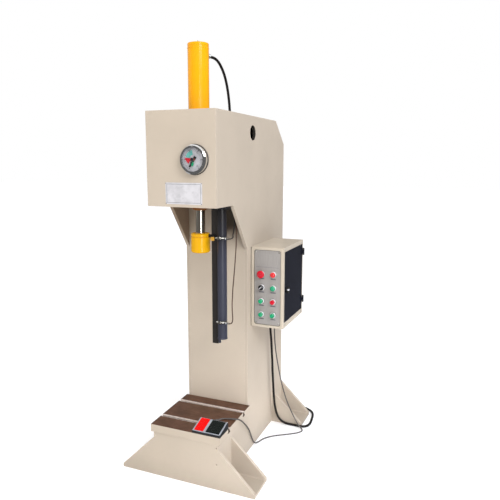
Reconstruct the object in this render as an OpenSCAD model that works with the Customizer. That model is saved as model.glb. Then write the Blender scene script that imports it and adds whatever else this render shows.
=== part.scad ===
// C-frame hydraulic press with table, guide post, control box and foot switch.
// Millimetres. The origin is on the ram's axis at floor level: +Z up, +Y towards the
// column, and +X towards the control box.

/* [Frame] */
// Width over the two side plates
frame_w = 340; // [310:5:380]
// Thickness of each side plate
side_t = 16; // [12:1:20]
// Thickness of the head's and the column's front plates
front_t = 12; // [8:1:16]
// Thickness of the head's top plate
top_t = 12; // [8:1:16]
// Thickness of the plate that the cylinder is seated on
seat_t = 25; // [20:1:32]
// Thickness of the bent rear plate
rear_t = 6; // [4:1:8]
// Height of the head's top face
head_top_z = 1720; // [1660:10:1760]
// Height of the head's underside
head_bottom_z = 1305; // [1290:5:1330]
// Ram axis to the head's front face
head_reach = 180; // [172:2:200]
// Ram axis to the column's front face
throat_depth = 170; // [160:2:180]
// Depth of the frame, from the head's front face to the column's rear face
frame_depth = 885; // [865:5:925]
// Height that the slope under the head takes up
knee_drop = 229; // [180:1:260]
// Length that the slope under the head takes up
knee_run = 172; // [140:1:200]
// Height of the chamfer at the head's rear
chamfer_drop = 120; // [90:5:150]
// Length of the chamfer at the head's rear
chamfer_run = 137; // [100:1:160]

/* [Lifting hole] */
// Diameter of the lifting hole through both side plates
lift_hole_d = 72; // [50:1:90]
// Column front to the lifting hole's centre
lift_hole_setback = 66; // [55:1:120]
// Head top to the lifting hole's centre
lift_hole_drop = 80; // [60:1:120]

/* [Base and feet] */
// Ram axis to the face of the base's front plate
base_reach = 185; // [175:1:200]
// Width over the feet
foot_span = 704; // [640:4:800]
// Thickness of the upright foot plates
foot_t = 16; // [12:1:20]
// Thickness of the flat plates that the feet stand on
foot_base_t = 12; // [8:1:16]
// Depth of the front feet
front_foot_d = 157; // [130:1:180]
// Depth of the rear feet
rear_foot_d = 168; // [140:1:190]
// Height where a foot meets the frame
foot_shoulder_z = 195; // [150:5:220]
// Height of a foot's outer end
foot_tip_z = 18; // [13:1:30]

/* [Table] */
// Width of the table
table_w = 366; // [345:1:400]
// Ram axis to the table's front edge
table_reach = 190; // [186:1:210]
// Height of the table's top face
table_top_z = 263; // [255:1:275]
// Thickness of the table
table_t = 38; // [32:1:44]
// Distance between the two T-slots
slot_pitch = 180; // [140:5:200]
// Width of a T-slot's neck
slot_w = 14; // [12:1:18]
// Depth of a T-slot's neck
slot_neck_h = 14; // [12:1:16]
// Width of a T-slot's head
slot_head_w = 24; // [22:1:30]
// Height of a T-slot's head
slot_head_h = 9; // [7:1:11]

/* [Rear cover] */
// Width of the service opening
opening_w = 220; // [180:10:260]
// Height of the service opening
opening_h = 520; // [400:10:600]
// Height of the service opening's lower edge
opening_z = 70; // [50:5:120]
// How far the cover laps over the opening's edge
cover_lap = 15; // [12:1:20]
// Thickness of the cover
cover_t = 2; // [1.5:0.5:3]
// Number of louvre slots in each column
louvre_count = 8; // [4:1:10]

/* [Cylinder] */
// Outer diameter of the barrel
barrel_d = 95; // [92:1:102]
// Bore of the barrel
bore_d = 80; // [74:1:84]
// Diameter of the piston rod
rod_d = 45; // [40:1:50]
// Travel of the ram
stroke = 400; // [300:10:440]
// Height of the cylinder's top face
cylinder_top_z = 2020; // [1990:5:2100]
// Thickness of the barrel's closed end
cap_t = 22; // [16:1:25]
// Length of the barrel below the seat plate
nose_h = 10; // [8:1:30]
// Length of the gland in the barrel
gland_h = 70; // [50:1:80]
// Diameter of the barrel's flange
flange_d = 150; // [140:1:160]
// Thickness of the barrel's flange
flange_t = 22; // [16:1:28]
// Height of the piston
piston_h = 50; // [35:1:60]

/* [Ram head] */
// Diameter of the ram head
ram_head_d = 90; // [80:1:96]
// Height of the ram head below the trip arm
ram_head_h = 73; // [60:1:80]
// Height of the ram head's lower face, ram up
ram_head_z = 1080; // [1060:5:1100]
// Height of the collar above the trip arm
collar_h = 13; // [10:1:18]
// Diameter of the tool socket
tool_bore_d = 25; // [20:1:32]
// Depth of the tool socket
tool_bore_h = 30; // [20:1:34]
// Depth of the rod's seat in the ram head
rod_seat_h = 35; // [25:1:38]

/* [Guide post] */
// Side plate's inner face to the guide post's axis
post_inset = 43; // [40:1:46]
// Outer diameter of the guide post
post_d = 45; // [42:1:46]
// Wall of the guide post
post_wall = 4; // [3:0.5:6]
// Length of the guide post
post_h = 630; // [600:5:660]
// Thickness of the guide bar
guide_t = 4; // [3:0.5:6]
// Gap between the cylinder's nose and the guide bar
guide_gap = 11; // [8:1:16]
// Thickness of the trip arm
trip_t = 5; // [4:0.5:8]
// Height of the trip arm's target
target_h = 19; // [12:1:24]

/* [Sensors] */
// Diameter of a sensor's barrel
sensor_d = 8; // [6:1:9]
// Length of a sensor's barrel
sensor_len = 56; // [50:1:58]
// Length of a sensor's cable tail
sensor_tail = 11; // [8:1:16]
// Height of a sensor's band
band_h = 9; // [7:1:12]

/* [Pressure gauge] */
// Head's right side to the gauge's centre
gauge_inset = 99; // [86:1:102]
// Height of the gauge's centre
gauge_z = 1510; // [1480:5:1560]
// Diameter of the gauge's bezel
bezel_d = 126; // [120:1:134]
// How far the bezel stands out of the head
bezel_h = 25; // [24:1:32]
// Diameter of the gauge's can behind the head's front plate
can_d = 100; // [92:1:104]
// Depth of the gauge's can behind the head's face
can_h = 62; // [45:1:66]

/* [Control box] */
// Width of the control box, out from the side plate
box_w = 170; // [165:1:190]
// Depth of the control box
box_d = 330; // [325:1:345]
// Height of the control box
box_h = 410; // [405:1:430]
// Column's rear face to the control box's rear
box_setback = 155; // [150:1:170]
// Height of the control box's underside
box_z = 675; // [650:5:700]
// Thickness of the box's sheet
sheet_t = 2; // [1.5:0.5:3]
// Width of the operator panel
panel_w = 138; // [128:1:142]
// Height of the operator panel
panel_h = 380; // [360:1:384]
// Thickness of the operator panel
panel_t = 2; // [1.5:0.5:3]
// Width of the door
door_w = 298; // [270:1:304]
// Height of the door
door_h = 360; // [330:1:366]

/* [Controls] */
// Sideways distance between the two columns of controls
control_pitch_x = 62; // [52:1:68]
// Distance between the rows of controls
control_pitch_z = 69; // [60:1:72]
// Panel centre to the top row of controls
control_rise = 70; // [55:1:75]
// Outer diameter of a control's collar
collar_d = 29; // [27:0.5:32]
// Diameter of a push button
button_d = 22; // [18:0.5:22.5]
// Travel of a push button
button_travel = 4; // [3:0.5:4]
// How far a push button stands out of its collar
button_rise = 14; // [6:1:16]
// Diameter of the emergency stop's mushroom head
mushroom_d = 38; // [32:1:42]

/* [Foot switch] */
// Width of the foot switch
pedal_base_w = 141; // [132:1:142]
// Depth of the foot switch
pedal_base_d = 96; // [88:1:104]
// Height of the foot switch at its rear
pedal_base_h = 34; // [28:1:40]
// Table's right edge to the foot switch
pedal_inset = 2; // [0:1:8]
// Width of the red pedal
red_pedal_w = 46; // [38:1:50]
// Width of the black pedal
black_pedal_w = 68; // [58:1:70]

/* [Blank plate] */
// Width of the blank plate on the head
plate_w = 180; // [120:1:200]
// Height of the blank plate on the head
plate_h = 94; // [60:1:100]

/* [Power unit] */
// Rear plate to the oil tank
tank_rear_gap = 79; // [60:1:110]
// Height of the oil tank
tank_h = 300; // [220:5:340]
// Wall of the oil tank
tank_wall = 4; // [3:0.5:6]
// Diameter of the motor
motor_d = 150; // [120:2:160]
// Height of the motor
motor_h = 260; // [220:5:300]

/* [Hose and leads] */
// Diameter of the hydraulic hose
hose_d = 13; // [11:0.5:14]
// Diameter of the sensors' leads
sensor_lead_d = 5; // [4:0.5:5.5]
// Diameter of the foot switch's lead
pedal_lead_d = 7; // [6:0.5:7.5]
// Diameter of the mains lead
mains_lead_d = 13; // [11:0.5:14]

/* [Hidden] */
$fn = 64;

// Clearances: a running fit, a loose passage, and a soft or sliding neighbour
run_gap = 0.05;
pass_gap = 1;
rest_gap = 0.3;
// Overshoot of a cutting tool past the face that it leaves
over = 1;

// Frame planes
half_w = frame_w / 2;
inner_x = half_w - side_t;
head_front_y = -head_reach;
head_inner_y = head_front_y + front_t;
rear_y = head_front_y + frame_depth;
column_inner_y = throat_depth + front_t;
knee_y = throat_depth - knee_run;
knee_z = head_bottom_z - knee_drop;
chamfer_y = rear_y - chamfer_run;
chamfer_z = head_top_z - chamfer_drop;
top_lip = 20;
base_front_y = -base_reach;
base_inner_y = base_front_y + foot_t;
foot_x = foot_span / 2;
front_gusset_y = base_front_y + front_foot_d - foot_t;
rear_foot_y = rear_y - rear_foot_d;
table_bottom_z = table_top_z - table_t;
seat_top_z = head_bottom_z + seat_t;

// Tapped holes for an accessory, at the right of the base's front plate
tapped_d = 8;
tapped_depth = 12;
tapped_x = half_w - side_t / 2;
tapped_z = [table_bottom_z - 19, table_bottom_z - 99];

// Blank plate, a little right of the head's middle
plate_x = 14;
plate_rise = 13;

// Cylinder
barrel_r = barrel_d / 2;
barrel_hole_d = barrel_d + pass_gap;
nose_z = head_bottom_z - nose_h;
cap_z = cylinder_top_z - cap_t;
gland_top_z = nose_z + gland_h;
lip_h = 12;
lip_d = bore_d - 8;
wiper_h = 4;
flange_top_z = seat_top_z + flange_t;
boss_h = 7.5;
boss_d = 30;
port_d = 12;
top_port_z = cap_z - port_d / 2 - 7;
low_port_z = flange_top_z + boss_d / 2 + 8;
rod_end_d = 30;
end_room = 78;
nut_h = 20;
nut_af = 46;
piston_z = cap_z - end_room - nut_h - piston_h;

// Bolts
bolt_d = 12;
bolt_af = 19;
bolt_head_h = 8;
flange_pcd = (barrel_d + flange_d) / 2 + 2;
flange_bolt_count = 6;
bolt_hole_d = bolt_d + 2 * run_gap;
bolt_bite = 3;

// Ram head, trip arm and guide post
trip_z = ram_head_z + ram_head_h;
collar_z = trip_z + trip_t;
rod_seat_z = trip_z - rod_seat_h;
post_r = post_d / 2;
post_x = inner_x - post_inset;
post_end_z = head_bottom_z - post_h;
post_flange_h = 12;
post_flange_x = [post_x - post_r - 20, inner_x - 2];
post_flange_y = 34;
post_bolt_dx = 30;
post_bolt_dy = 22;
post_cap_h = 6;
stud_h = 24;
stud_x = post_x - 15;
guide_edge_x = barrel_r + guide_gap;
arm_w = 18;
arm_end_x = post_x - post_r - 11;
fork_gap = guide_t / 2 + rest_gap;
target_x = [arm_end_x - 2, arm_end_x + 10];

// Sensors, their faces square to the trip arm's target
band_t = 1;
sensor_nut_af = sensor_d + 5;
sensor_y = -(post_r + run_gap + band_t + rest_gap + sensor_nut_af / 2 / cos(30));
sensor_face_x = target_x[1] + 6;
sensor_z = [trip_z + trip_t / 2, trip_z + trip_t / 2 - stroke];
sensor_end_x = sensor_face_x + sensor_len + sensor_tail;
clip_w = 10;
target_t = 8;
target_y = sensor_y - target_t / 2;

// Gauge, drawn in its own frame: x right, y up, z out of the head
gauge_x = half_w - gauge_inset;
bezel_r = bezel_d / 2;
dial_seat_h = 8;
glass_h = 3;
glass_z = bezel_h - glass_h - 3;
glass_r = bezel_r - 9;
dial_r = glass_r - 3.2;
dial_t = 1;
spindle_d = 4;
hub_d = 12;
pointer_t = 1;
pointer_z = [10, 12, 14];
pointer_len = [dial_r - 12, dial_r - 18, dial_r - 18];
pointer_angle = [240, 256, 186];
stem_h = 16;

// Control box
box_x = half_w;
box_right_x = box_x + box_w;
box_rear_y = rear_y - box_setback;
box_y = box_rear_y - box_d;
box_top_z = box_z + box_h;
box_mid_x = box_x + box_w / 2;
box_mid_z = box_z + box_h / 2;
rim_h = 6;
rim_r = 14;
panel_z = box_mid_z;
panel_mid_x = box_mid_x + 2;
panel_y = box_y - panel_t;
door_gap = 1;
door_t = 2;
door_y = box_y + 18;
door_z = box_mid_z + 3 - door_h / 2;
door_x = box_right_x - door_t + 0.5;
lip_w = 8;
lip_t = 3;
hinge_pin_d = 5;
knuckle_d = 10;
hinge_x = box_right_x + 6;
hinge_y = door_y + door_w + 6;
hinge_z = [door_z + 55, door_z + door_h - 42];
hinge_half_h = 18;
lock_y = door_y + 30;
lock_z = door_z + 165;
lock_d = 10;
cam_len = 40;
wire_hole_d = 40;
wire_hole_y = box_y + 60;
wire_hole_z = box_z + 85;

// Controls, drawn in their own frame: z out of the panel
control_x = [panel_mid_x - control_pitch_x / 2, panel_mid_x + control_pitch_x / 2];
control_z = [for (row = [0:3]) panel_z + control_rise - row * control_pitch_z];
control_hole_d = 22.4;
sleeve_d = 22;
stem_d = 10;
cup_z = 1;
cup_h = 8;
cover_d = collar_d - 2;
sleeve_h = 30;
block_h = 25;
cap_rest_z = cup_z + button_travel + 0.5;
stem_end_z = sleeve_h - button_travel - 2;

// Switchgear inside the control box
gear_x = box_x + sheet_t + 4;
gear_y = box_y + 85;
gear_w = box_d - 100;
gear_z = box_z + 25;
gear_h = box_h - 50;
gear_edge = 20;
contactor = [70, 48, 80];
contactor_pitch = 62;
contactor_z = gear_z + gear_h - 120;
fuse = [55, 30, 70];
fuse_pitch = 38;
fuse_z = gear_z + gear_h - 210;
transformer = [80, 65, 80];
transformer_at = [140, 120];
terminal = [40, 11, 45];
terminal_pitch = 13;
terminal_count = 14;
terminal_rise = 30;

// Foot switch
pedal_x = table_w / 2 - pedal_inset - pedal_base_w;
pedal_y = -table_reach + 2;
pedal_foot_h = 6;
pedal_front_h = 12;
pedal_margin = 7;
pedal_pin_d = 4;
pedal_pin_y = pedal_y + 13;
pedal_pin_z = table_top_z + 9.5;
pedal_well_z = table_top_z + 4.5;
pedal_well_end = pedal_y + pedal_base_d - 8;
black_pedal_x = pedal_x + pedal_base_w - pedal_margin - black_pedal_w;
red_pedal_x = pedal_x + pedal_margin;
pedal_side_gap = 0.5;

// Power unit
tank_z = 20;
tank_y = column_inner_y + 18;
lid_h = 8;
lid_z = tank_z + tank_h;
tank_d = rear_y - rear_t - tank_rear_gap - tank_y;
motor_inset = 16;
motor_y = tank_y + tank_d - motor_d / 2 - motor_inset;
valve_h = 80;
hose_drop_y = 345;
pipe_d = 12;
pipe_y = 280;
gauge_pipe_d = 8;
pipe_end_y = barrel_r + boss_h;

// Hose ends
fitting_af = 27;
fitting_hex_h = 15;
ferrule_d = 20;
ferrule_h = 45;
fitting_h = fitting_hex_h + ferrule_h;
top_hose_y = barrel_r + boss_h + fitting_h;
low_hose_z = lid_z + lid_h + valve_h + fitting_h;

// Grommets: the hose's in the top plate, the sensor leads' in the seat plate
hose_hole_d = 26;
lead_hole_d = 20;
lead_hole_inset = 17;
lead_hole = [inner_x - lead_hole_inset, 84];
grommet_lip = 3;
lead_end_z = head_bottom_z - grommet_lip;

// Cable glands under the box
gland_x = box_x + 30;
gland_setback = [205, 270];
gland_y = [for (d = gland_setback) box_y + d];
gland_drop = 30;
gland_end_z = box_z - gland_drop;
gland_straight = 27;

// Foot switch's strain relief
relief_x = pedal_x + 60;
relief_h = 25;
relief_z = table_top_z + 12;
relief_end_y = pedal_y + pedal_base_d + relief_h;

// Hose's route, from the cylinder's upper port over and down to the valve block
hose_route = [
    [0, top_hose_y, top_port_z], [0, 138, top_port_z], [0, 168, 1985], [0, 195, 1980],
    [0, 220, 1970], [0, 245, 1954], [0, 267, 1935], [0, 287, 1911], [0, 303, 1884],
    [0, 316, 1855], [0, 326, 1824], [0, 334, 1792], [0, 339, 1760], [0, 343, 1725],
    [0, 345, 1690], [0, 345, 1650], [0, 345, 1600], [0, 345, 1550], [0, 345, 1500],
    [0, 345, 1450], [0, 345, 1400], [0, 345, 1350], [0, 345, 1300], [0, 345, 1250],
    [0, 345, 1200], [0, 345, 1150], [0, 345, 1100], [0, 345, 1050], [0, 345, 1000],
    [0, 345, 950], [0, 345, 900], [0, 345, 850], [0, 345, 800], [0, 345, 750],
    [0, 345, 700], [0, 345, 650], [0, 345, 600], [0, 345, 550],
    [0, hose_drop_y, low_hose_z]];

// Where the sensors' leads enter their grommet
lead_apart = 5;
lead_straight = 14;

// Upper sensor's lead, up behind the side plate's slope into the seat plate
upper_lead_route = [
    [sensor_end_x, sensor_y, sensor_z[0]], [165, sensor_y, sensor_z[0]], [171, -27, 1157],
    [173, -17, 1159], [170, -6, 1161], [164, 6, 1164], [158, 20, 1168], [153, 34, 1173],
    [149, 47, 1181], [147, 58, 1193], [145, 66, 1210], [143, 72, 1230],
    [140, 77, 1252], [138, 79, 1270],
    [lead_hole[0], lead_hole[1] - lead_apart, lead_end_z - lead_straight],
    [lead_hole[0], lead_hole[1] - lead_apart, lead_end_z]];

// Lower sensor's lead, hanging from the seat plate
lower_lead_route = [
    [sensor_end_x, sensor_y, sensor_z[1]], [165, sensor_y, sensor_z[1]], [171, -27, 759],
    [172, -20, 769], [169, -12, 783], [164, -4, 800], [159, 5, 820], [155, 14, 844],
    [153, 23, 873], [151, 32, 907], [151, 41, 945], [151, 49, 983], [151, 57, 1022],
    [151, 64, 1062], [151, 71, 1102], [150, 76, 1141], [149, 81, 1180], [145, 85, 1220],
    [140, 88, 1258],
    [lead_hole[0], lead_hole[1] + lead_apart, lead_end_z - lead_straight],
    [lead_hole[0], lead_hole[1] + lead_apart, lead_end_z]];

// Foot switch's lead: over the table's edge, down to the floor, a loose bend there,
// and up to the control box. The fall's points are [x, share of the way back, z], and
// those behind it are taken from the rear face
fall_start = [193, 62, 222];
fall_end = [187, rear_y - 425, 4];
fall = [[190, 0.1, 205], [187, 0.27, 172], [184, 0.45, 130], [181, 0.63, 73],
    [180, 0.75, 37], [182, 0.86, 14]];
pedal_route = concat([
    [relief_x, relief_end_y, relief_z], [relief_x, -58, relief_z], [103, -45, 270],
    [121, -18, 266.7], [148, -8, 266.8], [176, -4, 268.6], [190, 2, 267],
    [197, 18, 255], fall_start],
    [for (p = fall) [p[0], fall_start[1] + p[1] * (fall_end[1] - fall_start[1]), p[2]]],
    [fall_end],
    [for (p = [[198, -391, 3.6], [216, -360, 3.6], [242, -333, 3.6],
        [276, -307, 3.6], [312, -283, 3.6], [343, -259, 3.6], [364, -237, 3.6],
        [372, -217, 3.6], [365, -199, 5], [350, -192, 13], [333, -190, 33],
        [314, -190, 66], [293, -190, 106], [272, -190, 152], [254, -190, 203],
        [238, -190, 258], [226, -191, 312], [216, -194, 368], [208, -199, 425],
        [203, -205, 480], [201, -211, 535]]) p + [0, rear_y, 0]],
    [[gland_x, gland_y[1], gland_end_z - gland_straight],
    [gland_x, gland_y[1], gland_end_z]]);

// Mains lead: down to the floor, along the rear foot and round its end, with the
// points below the gland taken from the rear face
mains_route = concat([
    [gland_x, gland_y[0], gland_end_z],
    [gland_x, gland_y[0], gland_end_z - gland_straight]],
    [for (p = [[200, -275, 575], [200, -264, 535], [200, -258, 495],
        [200, -252, 450], [201, -247, 405], [201, -243, 360], [202, -239, 315],
        [203, -235, 270], [204, -230, 225], [205, -225, 185], [206, -218, 145],
        [209, -208, 105], [215, -198, 68], [228, -188, 36], [249, -180, 15],
        [276, -176, 7], [305, -175.5, 6.6], [335, -175.5, 6.6], [361, -174, 6.6],
        [381, -160, 6.6], [391, -132, 6.6], [391, -98, 6.6], [387, -65, 6.6],
        [382, -30, 6.6], [373, 3, 6.6], [354, 31, 6.6], [327, 50, 6.6],
        [296, 63, 6.6], [263, 73, 6.6], [230, 81, 6.6], [196, 88, 6.6],
        [162, 94, 6.6], [128, 99, 6.6], [94, 102, 6.6], [60, 104, 6.6],
        [30, 105, 6.6]]) p + [0, rear_y, 0]]);

// Coil of the mains lead and the short tail to its plug
coil_mid_d = 150;
coil_layers = 2;
coil_outer_r = (coil_mid_d + coil_layers * mains_lead_d) / 2;
coil_inner_r = (coil_mid_d - coil_layers * mains_lead_d) / 2;
coil_touch = coil_outer_r + mains_lead_d / 2 + rest_gap;
coil_centre = mains_route[len(mains_route) - 1] + [0, coil_touch, 0];
plug_x = -70;
plug_d = 56;
plug_len = 120;

// ---------------------------------------------------------------- helpers

// Extrudes an outline in (y, z) along +X from x0
module extrude_x(x0, length) {
    translate([x0, 0, 0]) rotate([90, 0, 90]) linear_extrude(length) children();
}

// Extrudes an outline in (x, z) along +Y from y0
module extrude_y(y0, length) {
    translate([0, y0 + length, 0]) rotate([90, 0, 0]) linear_extrude(length) children();
}

// A block between two opposite corners
module block(low, high) {
    translate(low) cube(high - low);
}

// A rectangle about the origin with round corners
module rounded_rect(w, h, r) {
    square([w - 2 * r, h], center = true);
    square([w, h - 2 * r], center = true);
    for (x = [-1, 1], y = [-1, 1])
        translate([x * (w / 2 - r), y * (h / 2 - r)]) circle(r);
}

// Cylinders along X and Y, from a start point
module rod_x(start, length, d) {
    translate(start) rotate([0, 90, 0]) cylinder(h = length, d = d);
}
module rod_y(start, length, d) {
    translate(start) rotate([-90, 0, 0]) cylinder(h = length, d = d);
}

// A hexagon across its flats
module hexagon(af) {
    circle(d = af / cos(30), $fn = 6);
}

// Unit vector and cross product helpers for the swept leads
function unit(v) = v / norm(v);
function square_to(n, t) = unit(n - (n * t) * t);
function tangents(p) = [for (i = [0:len(p) - 1])
    unit(p[min(i + 1, len(p) - 1)] - p[max(i - 1, 0)])];
function normals(t, first) = [for (i = 0, n = square_to(first, t[0]); i < len(t);
    i = i + 1, n = i < len(t) ? square_to(n, t[i]) : n) n];

// A round tube swept along a list of points
module lead(points, d, first, sides = 8) {
    t = tangents(points);
    n = normals(t, first);
    rings = [for (i = [0:len(points) - 1], k = [0:sides - 1])
        points[i] + d / 2 * (cos(360 * k / sides) * n[i]
            + sin(360 * k / sides) * cross(t[i], n[i]))];
    last = (len(points) - 1) * sides;
    walls = [for (i = [0:len(points) - 2], k = [0:sides - 1])
        let (a = i * sides, b = (k + 1) % sides)
        [a + k, a + sides + k, a + sides + b, a + b]];
    ends = [[for (k = [0:sides - 1]) k], [for (k = [sides - 1:-1:0]) last + k]];
    polyhedron(points = rings, faces = concat(walls, ends));
}

// ---------------------------------------------------------------- frame

// Outline of a side plate in (y, z)
side_outline = [[base_inner_y, 0], [rear_y, 0], [rear_y, chamfer_z],
    [chamfer_y, head_top_z], [head_inner_y, head_top_z], [head_inner_y, head_bottom_z],
    [knee_y, head_bottom_z], [throat_depth, knee_z], [throat_depth, table_bottom_z],
    [base_inner_y, table_bottom_z]];
lift_hole = [throat_depth + lift_hole_setback, head_top_z - lift_hole_drop];

module side_plate(x0) {
    extrude_x(x0, side_t) difference() {
        polygon(side_outline);
        translate(lift_hole) circle(d = lift_hole_d);
        if (x0 > 0)
            translate([wire_hole_y, wire_hole_z]) circle(d = wire_hole_d);
    }
}

module side_plate_left() {
    color("blanchedalmond") side_plate(-half_w);
}

module side_plate_right() {
    color("blanchedalmond") side_plate(inner_x);
}

module head_front_plate() {
    color("wheat") extrude_y(head_front_y, front_t) difference() {
        translate([-half_w, head_bottom_z]) square([frame_w, head_top_z - head_bottom_z]);
        translate([gauge_x, gauge_z]) circle(d = can_d + pass_gap);
    }
}

module head_top_plate() {
    color("blanchedalmond") difference() {
        block([-inner_x, head_inner_y, head_top_z - top_t],
            [inner_x, chamfer_y - top_lip, head_top_z]);
        translate([0, 0, head_top_z - top_t - over])
            cylinder(h = top_t + 2 * over, d = barrel_hole_d);
        translate([0, hose_drop_y, head_top_z - top_t - over])
            cylinder(h = top_t + 2 * over, d = hose_hole_d);
    }
}

// Places of the flange's bolts and the guide post's bolts in plan
flange_bolts = [for (i = [0:flange_bolt_count - 1])
    flange_pcd / 2 * [cos(360 * i / flange_bolt_count), sin(360 * i / flange_bolt_count)]];
post_bolts = [for (x = [-1, 1], y = [-1, 1])
    [post_x + x * post_bolt_dx, y * post_bolt_dy]];

module head_bottom_plate() {
    color("wheat") difference() {
        block([-inner_x, head_inner_y, head_bottom_z],
            [inner_x, column_inner_y, seat_top_z]);
        translate([0, 0, head_bottom_z - over])
            cylinder(h = seat_t + 2 * over, d = barrel_hole_d);
        for (p = concat(flange_bolts, post_bolts))
            translate([p[0], p[1], head_bottom_z - over])
                cylinder(h = seat_t + 2 * over, d = bolt_hole_d);
        translate([lead_hole[0], lead_hole[1], head_bottom_z - over])
            cylinder(h = seat_t + 2 * over, d = lead_hole_d);
    }
}

module column_front_plate() {
    color("wheat") block([-inner_x, throat_depth, 0], [inner_x, column_inner_y, head_bottom_z]);
}

// Offsets of the rear plate's inner corners, from its two bend angles
rear_bend = atan2(chamfer_run, chamfer_drop);
lower_step = rear_t * tan(rear_bend / 2);
upper_step = rear_t * tan((90 - rear_bend) / 2);

module rear_plate() {
    color("blanchedalmond") difference() {
        extrude_x(-inner_x, 2 * inner_x)
            polygon([[rear_y - rear_t, 0], [rear_y, 0], [rear_y, chamfer_z],
                [chamfer_y, head_top_z], [chamfer_y - top_lip, head_top_z],
                [chamfer_y - top_lip, head_top_z - rear_t],
                [chamfer_y - upper_step, head_top_z - rear_t],
                [rear_y - rear_t, chamfer_z - lower_step]]);
        block([-opening_w / 2, rear_y - rear_t - over, opening_z],
            [opening_w / 2, rear_y + over, opening_z + opening_h]);
    }
}

module rear_cover() {
    cover_w = opening_w + 2 * cover_lap;
    cover_h = opening_h + 2 * cover_lap;
    cover_mid_z = opening_z + opening_h / 2;
    louvre_w = opening_w * 0.34;
    louvre_h = 6;
    louvre_pitch = 22;
    screw_inset = cover_lap / 2;
    color("blanchedalmond") {
        extrude_y(rear_y, cover_t) difference() {
            translate([0, cover_mid_z]) rounded_rect(cover_w, cover_h, 5);
            for (x = [-1, 1], i = [0:louvre_count - 1])
                translate([x * opening_w / 4, cover_mid_z + cover_h / 4 + 40 - i * louvre_pitch])
                    square([louvre_w, louvre_h], center = true);
        }
        for (x = [-1, 1], z = [-1, 0, 1])
            rod_y([x * (cover_w / 2 - screw_inset), rear_y + cover_t,
                cover_mid_z + z * (cover_h / 2 - screw_inset)], 3, 9);
    }
}

module base_front_plate() {
    color("wheat") difference() {
        extrude_y(base_front_y, foot_t)
            polygon([[-foot_x, 0], [foot_x, 0], [foot_x, foot_tip_z],
                [half_w, foot_shoulder_z], [half_w, table_bottom_z],
                [-half_w, table_bottom_z], [-half_w, foot_shoulder_z],
                [-foot_x, foot_tip_z]]);
        for (z = tapped_z)
            rod_y([tapped_x, base_front_y - over, z], tapped_depth + over, tapped_d);
    }
}

// One upright foot plate on the side that side names
module foot_gusset(side, y0) {
    mirror([side < 0 ? 1 : 0, 0, 0]) extrude_y(y0, foot_t)
        polygon([[half_w, 0], [foot_x, 0], [foot_x, foot_tip_z], [half_w, foot_shoulder_z]]);
}

// The flat plate that a foot stands on
module foot_sole(side, y0, y1) {
    mirror([side < 0 ? 1 : 0, 0, 0]) block([half_w, y0, 0], [foot_x, y1, foot_base_t]);
}

// The front feet, and the plate that closes the base from below
module front_feet() {
    color("blanchedalmond") {
        for (side = [-1, 1]) {
            foot_gusset(side, front_gusset_y);
            foot_sole(side, base_inner_y, front_gusset_y);
        }
        block([-inner_x, base_inner_y, 0], [inner_x, throat_depth, foot_base_t]);
    }
}

module rear_feet() {
    color("blanchedalmond") for (side = [-1, 1]) {
        foot_gusset(side, rear_foot_y);
        foot_gusset(side, rear_y - foot_t);
        foot_sole(side, rear_foot_y + foot_t, rear_y - foot_t);
    }
}

module table_plate() {
    neck_z = table_top_z - slot_neck_h;
    color("saddlebrown") difference() {
        block([-table_w / 2, -table_reach, table_bottom_z],
            [table_w / 2, throat_depth, table_top_z]);
        for (y = [-1, 1] * slot_pitch / 2) {
            block([-table_w / 2 - over, y - slot_w / 2, neck_z - over],
                [table_w / 2 + over, y + slot_w / 2, table_top_z + over]);
            block([-table_w / 2 - over, y - slot_head_w / 2, neck_z - slot_head_h],
                [table_w / 2 + over, y + slot_head_w / 2, neck_z]);
        }
    }
}

module blank_plate() {
    plate_z = head_bottom_z + plate_rise + plate_h / 2;
    color("white") extrude_y(head_front_y - 1, 1)
        translate([plate_x, plate_z]) rounded_rect(plate_w, plate_h, 3);
}

// ---------------------------------------------------------------- cylinder and ram

module cylinder_barrel() {
    color("orange") difference() {
        union() {
            translate([0, 0, nose_z]) cylinder(h = cylinder_top_z - nose_z - 2, d = barrel_d);
            translate([0, 0, cylinder_top_z - 2]) cylinder(h = 2, d1 = barrel_d, d2 = barrel_d - 4);
            translate([0, 0, seat_top_z]) cylinder(h = flange_t, d = flange_d);
            for (z = [top_port_z, low_port_z])
                rod_y([0, 0, z], barrel_r + boss_h, boss_d);
        }
        translate([0, 0, nose_z - over]) cylinder(h = cap_z - nose_z + over, d = bore_d);
        for (z = [top_port_z, low_port_z])
            rod_y([0, 0, z], barrel_r + boss_h + over, port_d);
        for (p = flange_bolts)
            translate([p[0], p[1], seat_top_z - over])
                cylinder(h = flange_t + 2 * over, d = bolt_hole_d);
        translate([0, 0, cylinder_top_z - 13]) difference() {
            cylinder(h = 1.5, d = barrel_d + 2);
            translate([0, 0, -over]) cylinder(h = 1.5 + 2 * over, d = barrel_d - 3);
        }
    }
}

module cylinder_gland() {
    spanner_pcd = (rod_d + lip_d) / 2;
    color("orange") difference() {
        union() {
            translate([0, 0, nose_z]) cylinder(h = gland_h, d = bore_d - 2 * run_gap);
            translate([0, 0, nose_z - lip_h]) cylinder(h = lip_h, d = lip_d);
            translate([0, 0, nose_z - lip_h - wiper_h]) cylinder(h = wiper_h, d = rod_d + 11);
        }
        translate([0, 0, nose_z - lip_h - wiper_h - over])
            cylinder(h = gland_h + lip_h + wiper_h + 2 * over, d = rod_d + 2 * run_gap);
        for (a = [0:90:270])
            rotate(a) translate([spanner_pcd / 2, 0, nose_z - lip_h - over])
                cylinder(h = 5 + over, d = 6);
    }
}

// A hexagon bolt: its head above z = 0, its shank below
module hex_bolt(shank) {
    linear_extrude(bolt_head_h) hexagon(bolt_af);
    translate([0, 0, -shank]) cylinder(h = shank, d = bolt_d);
}

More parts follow.
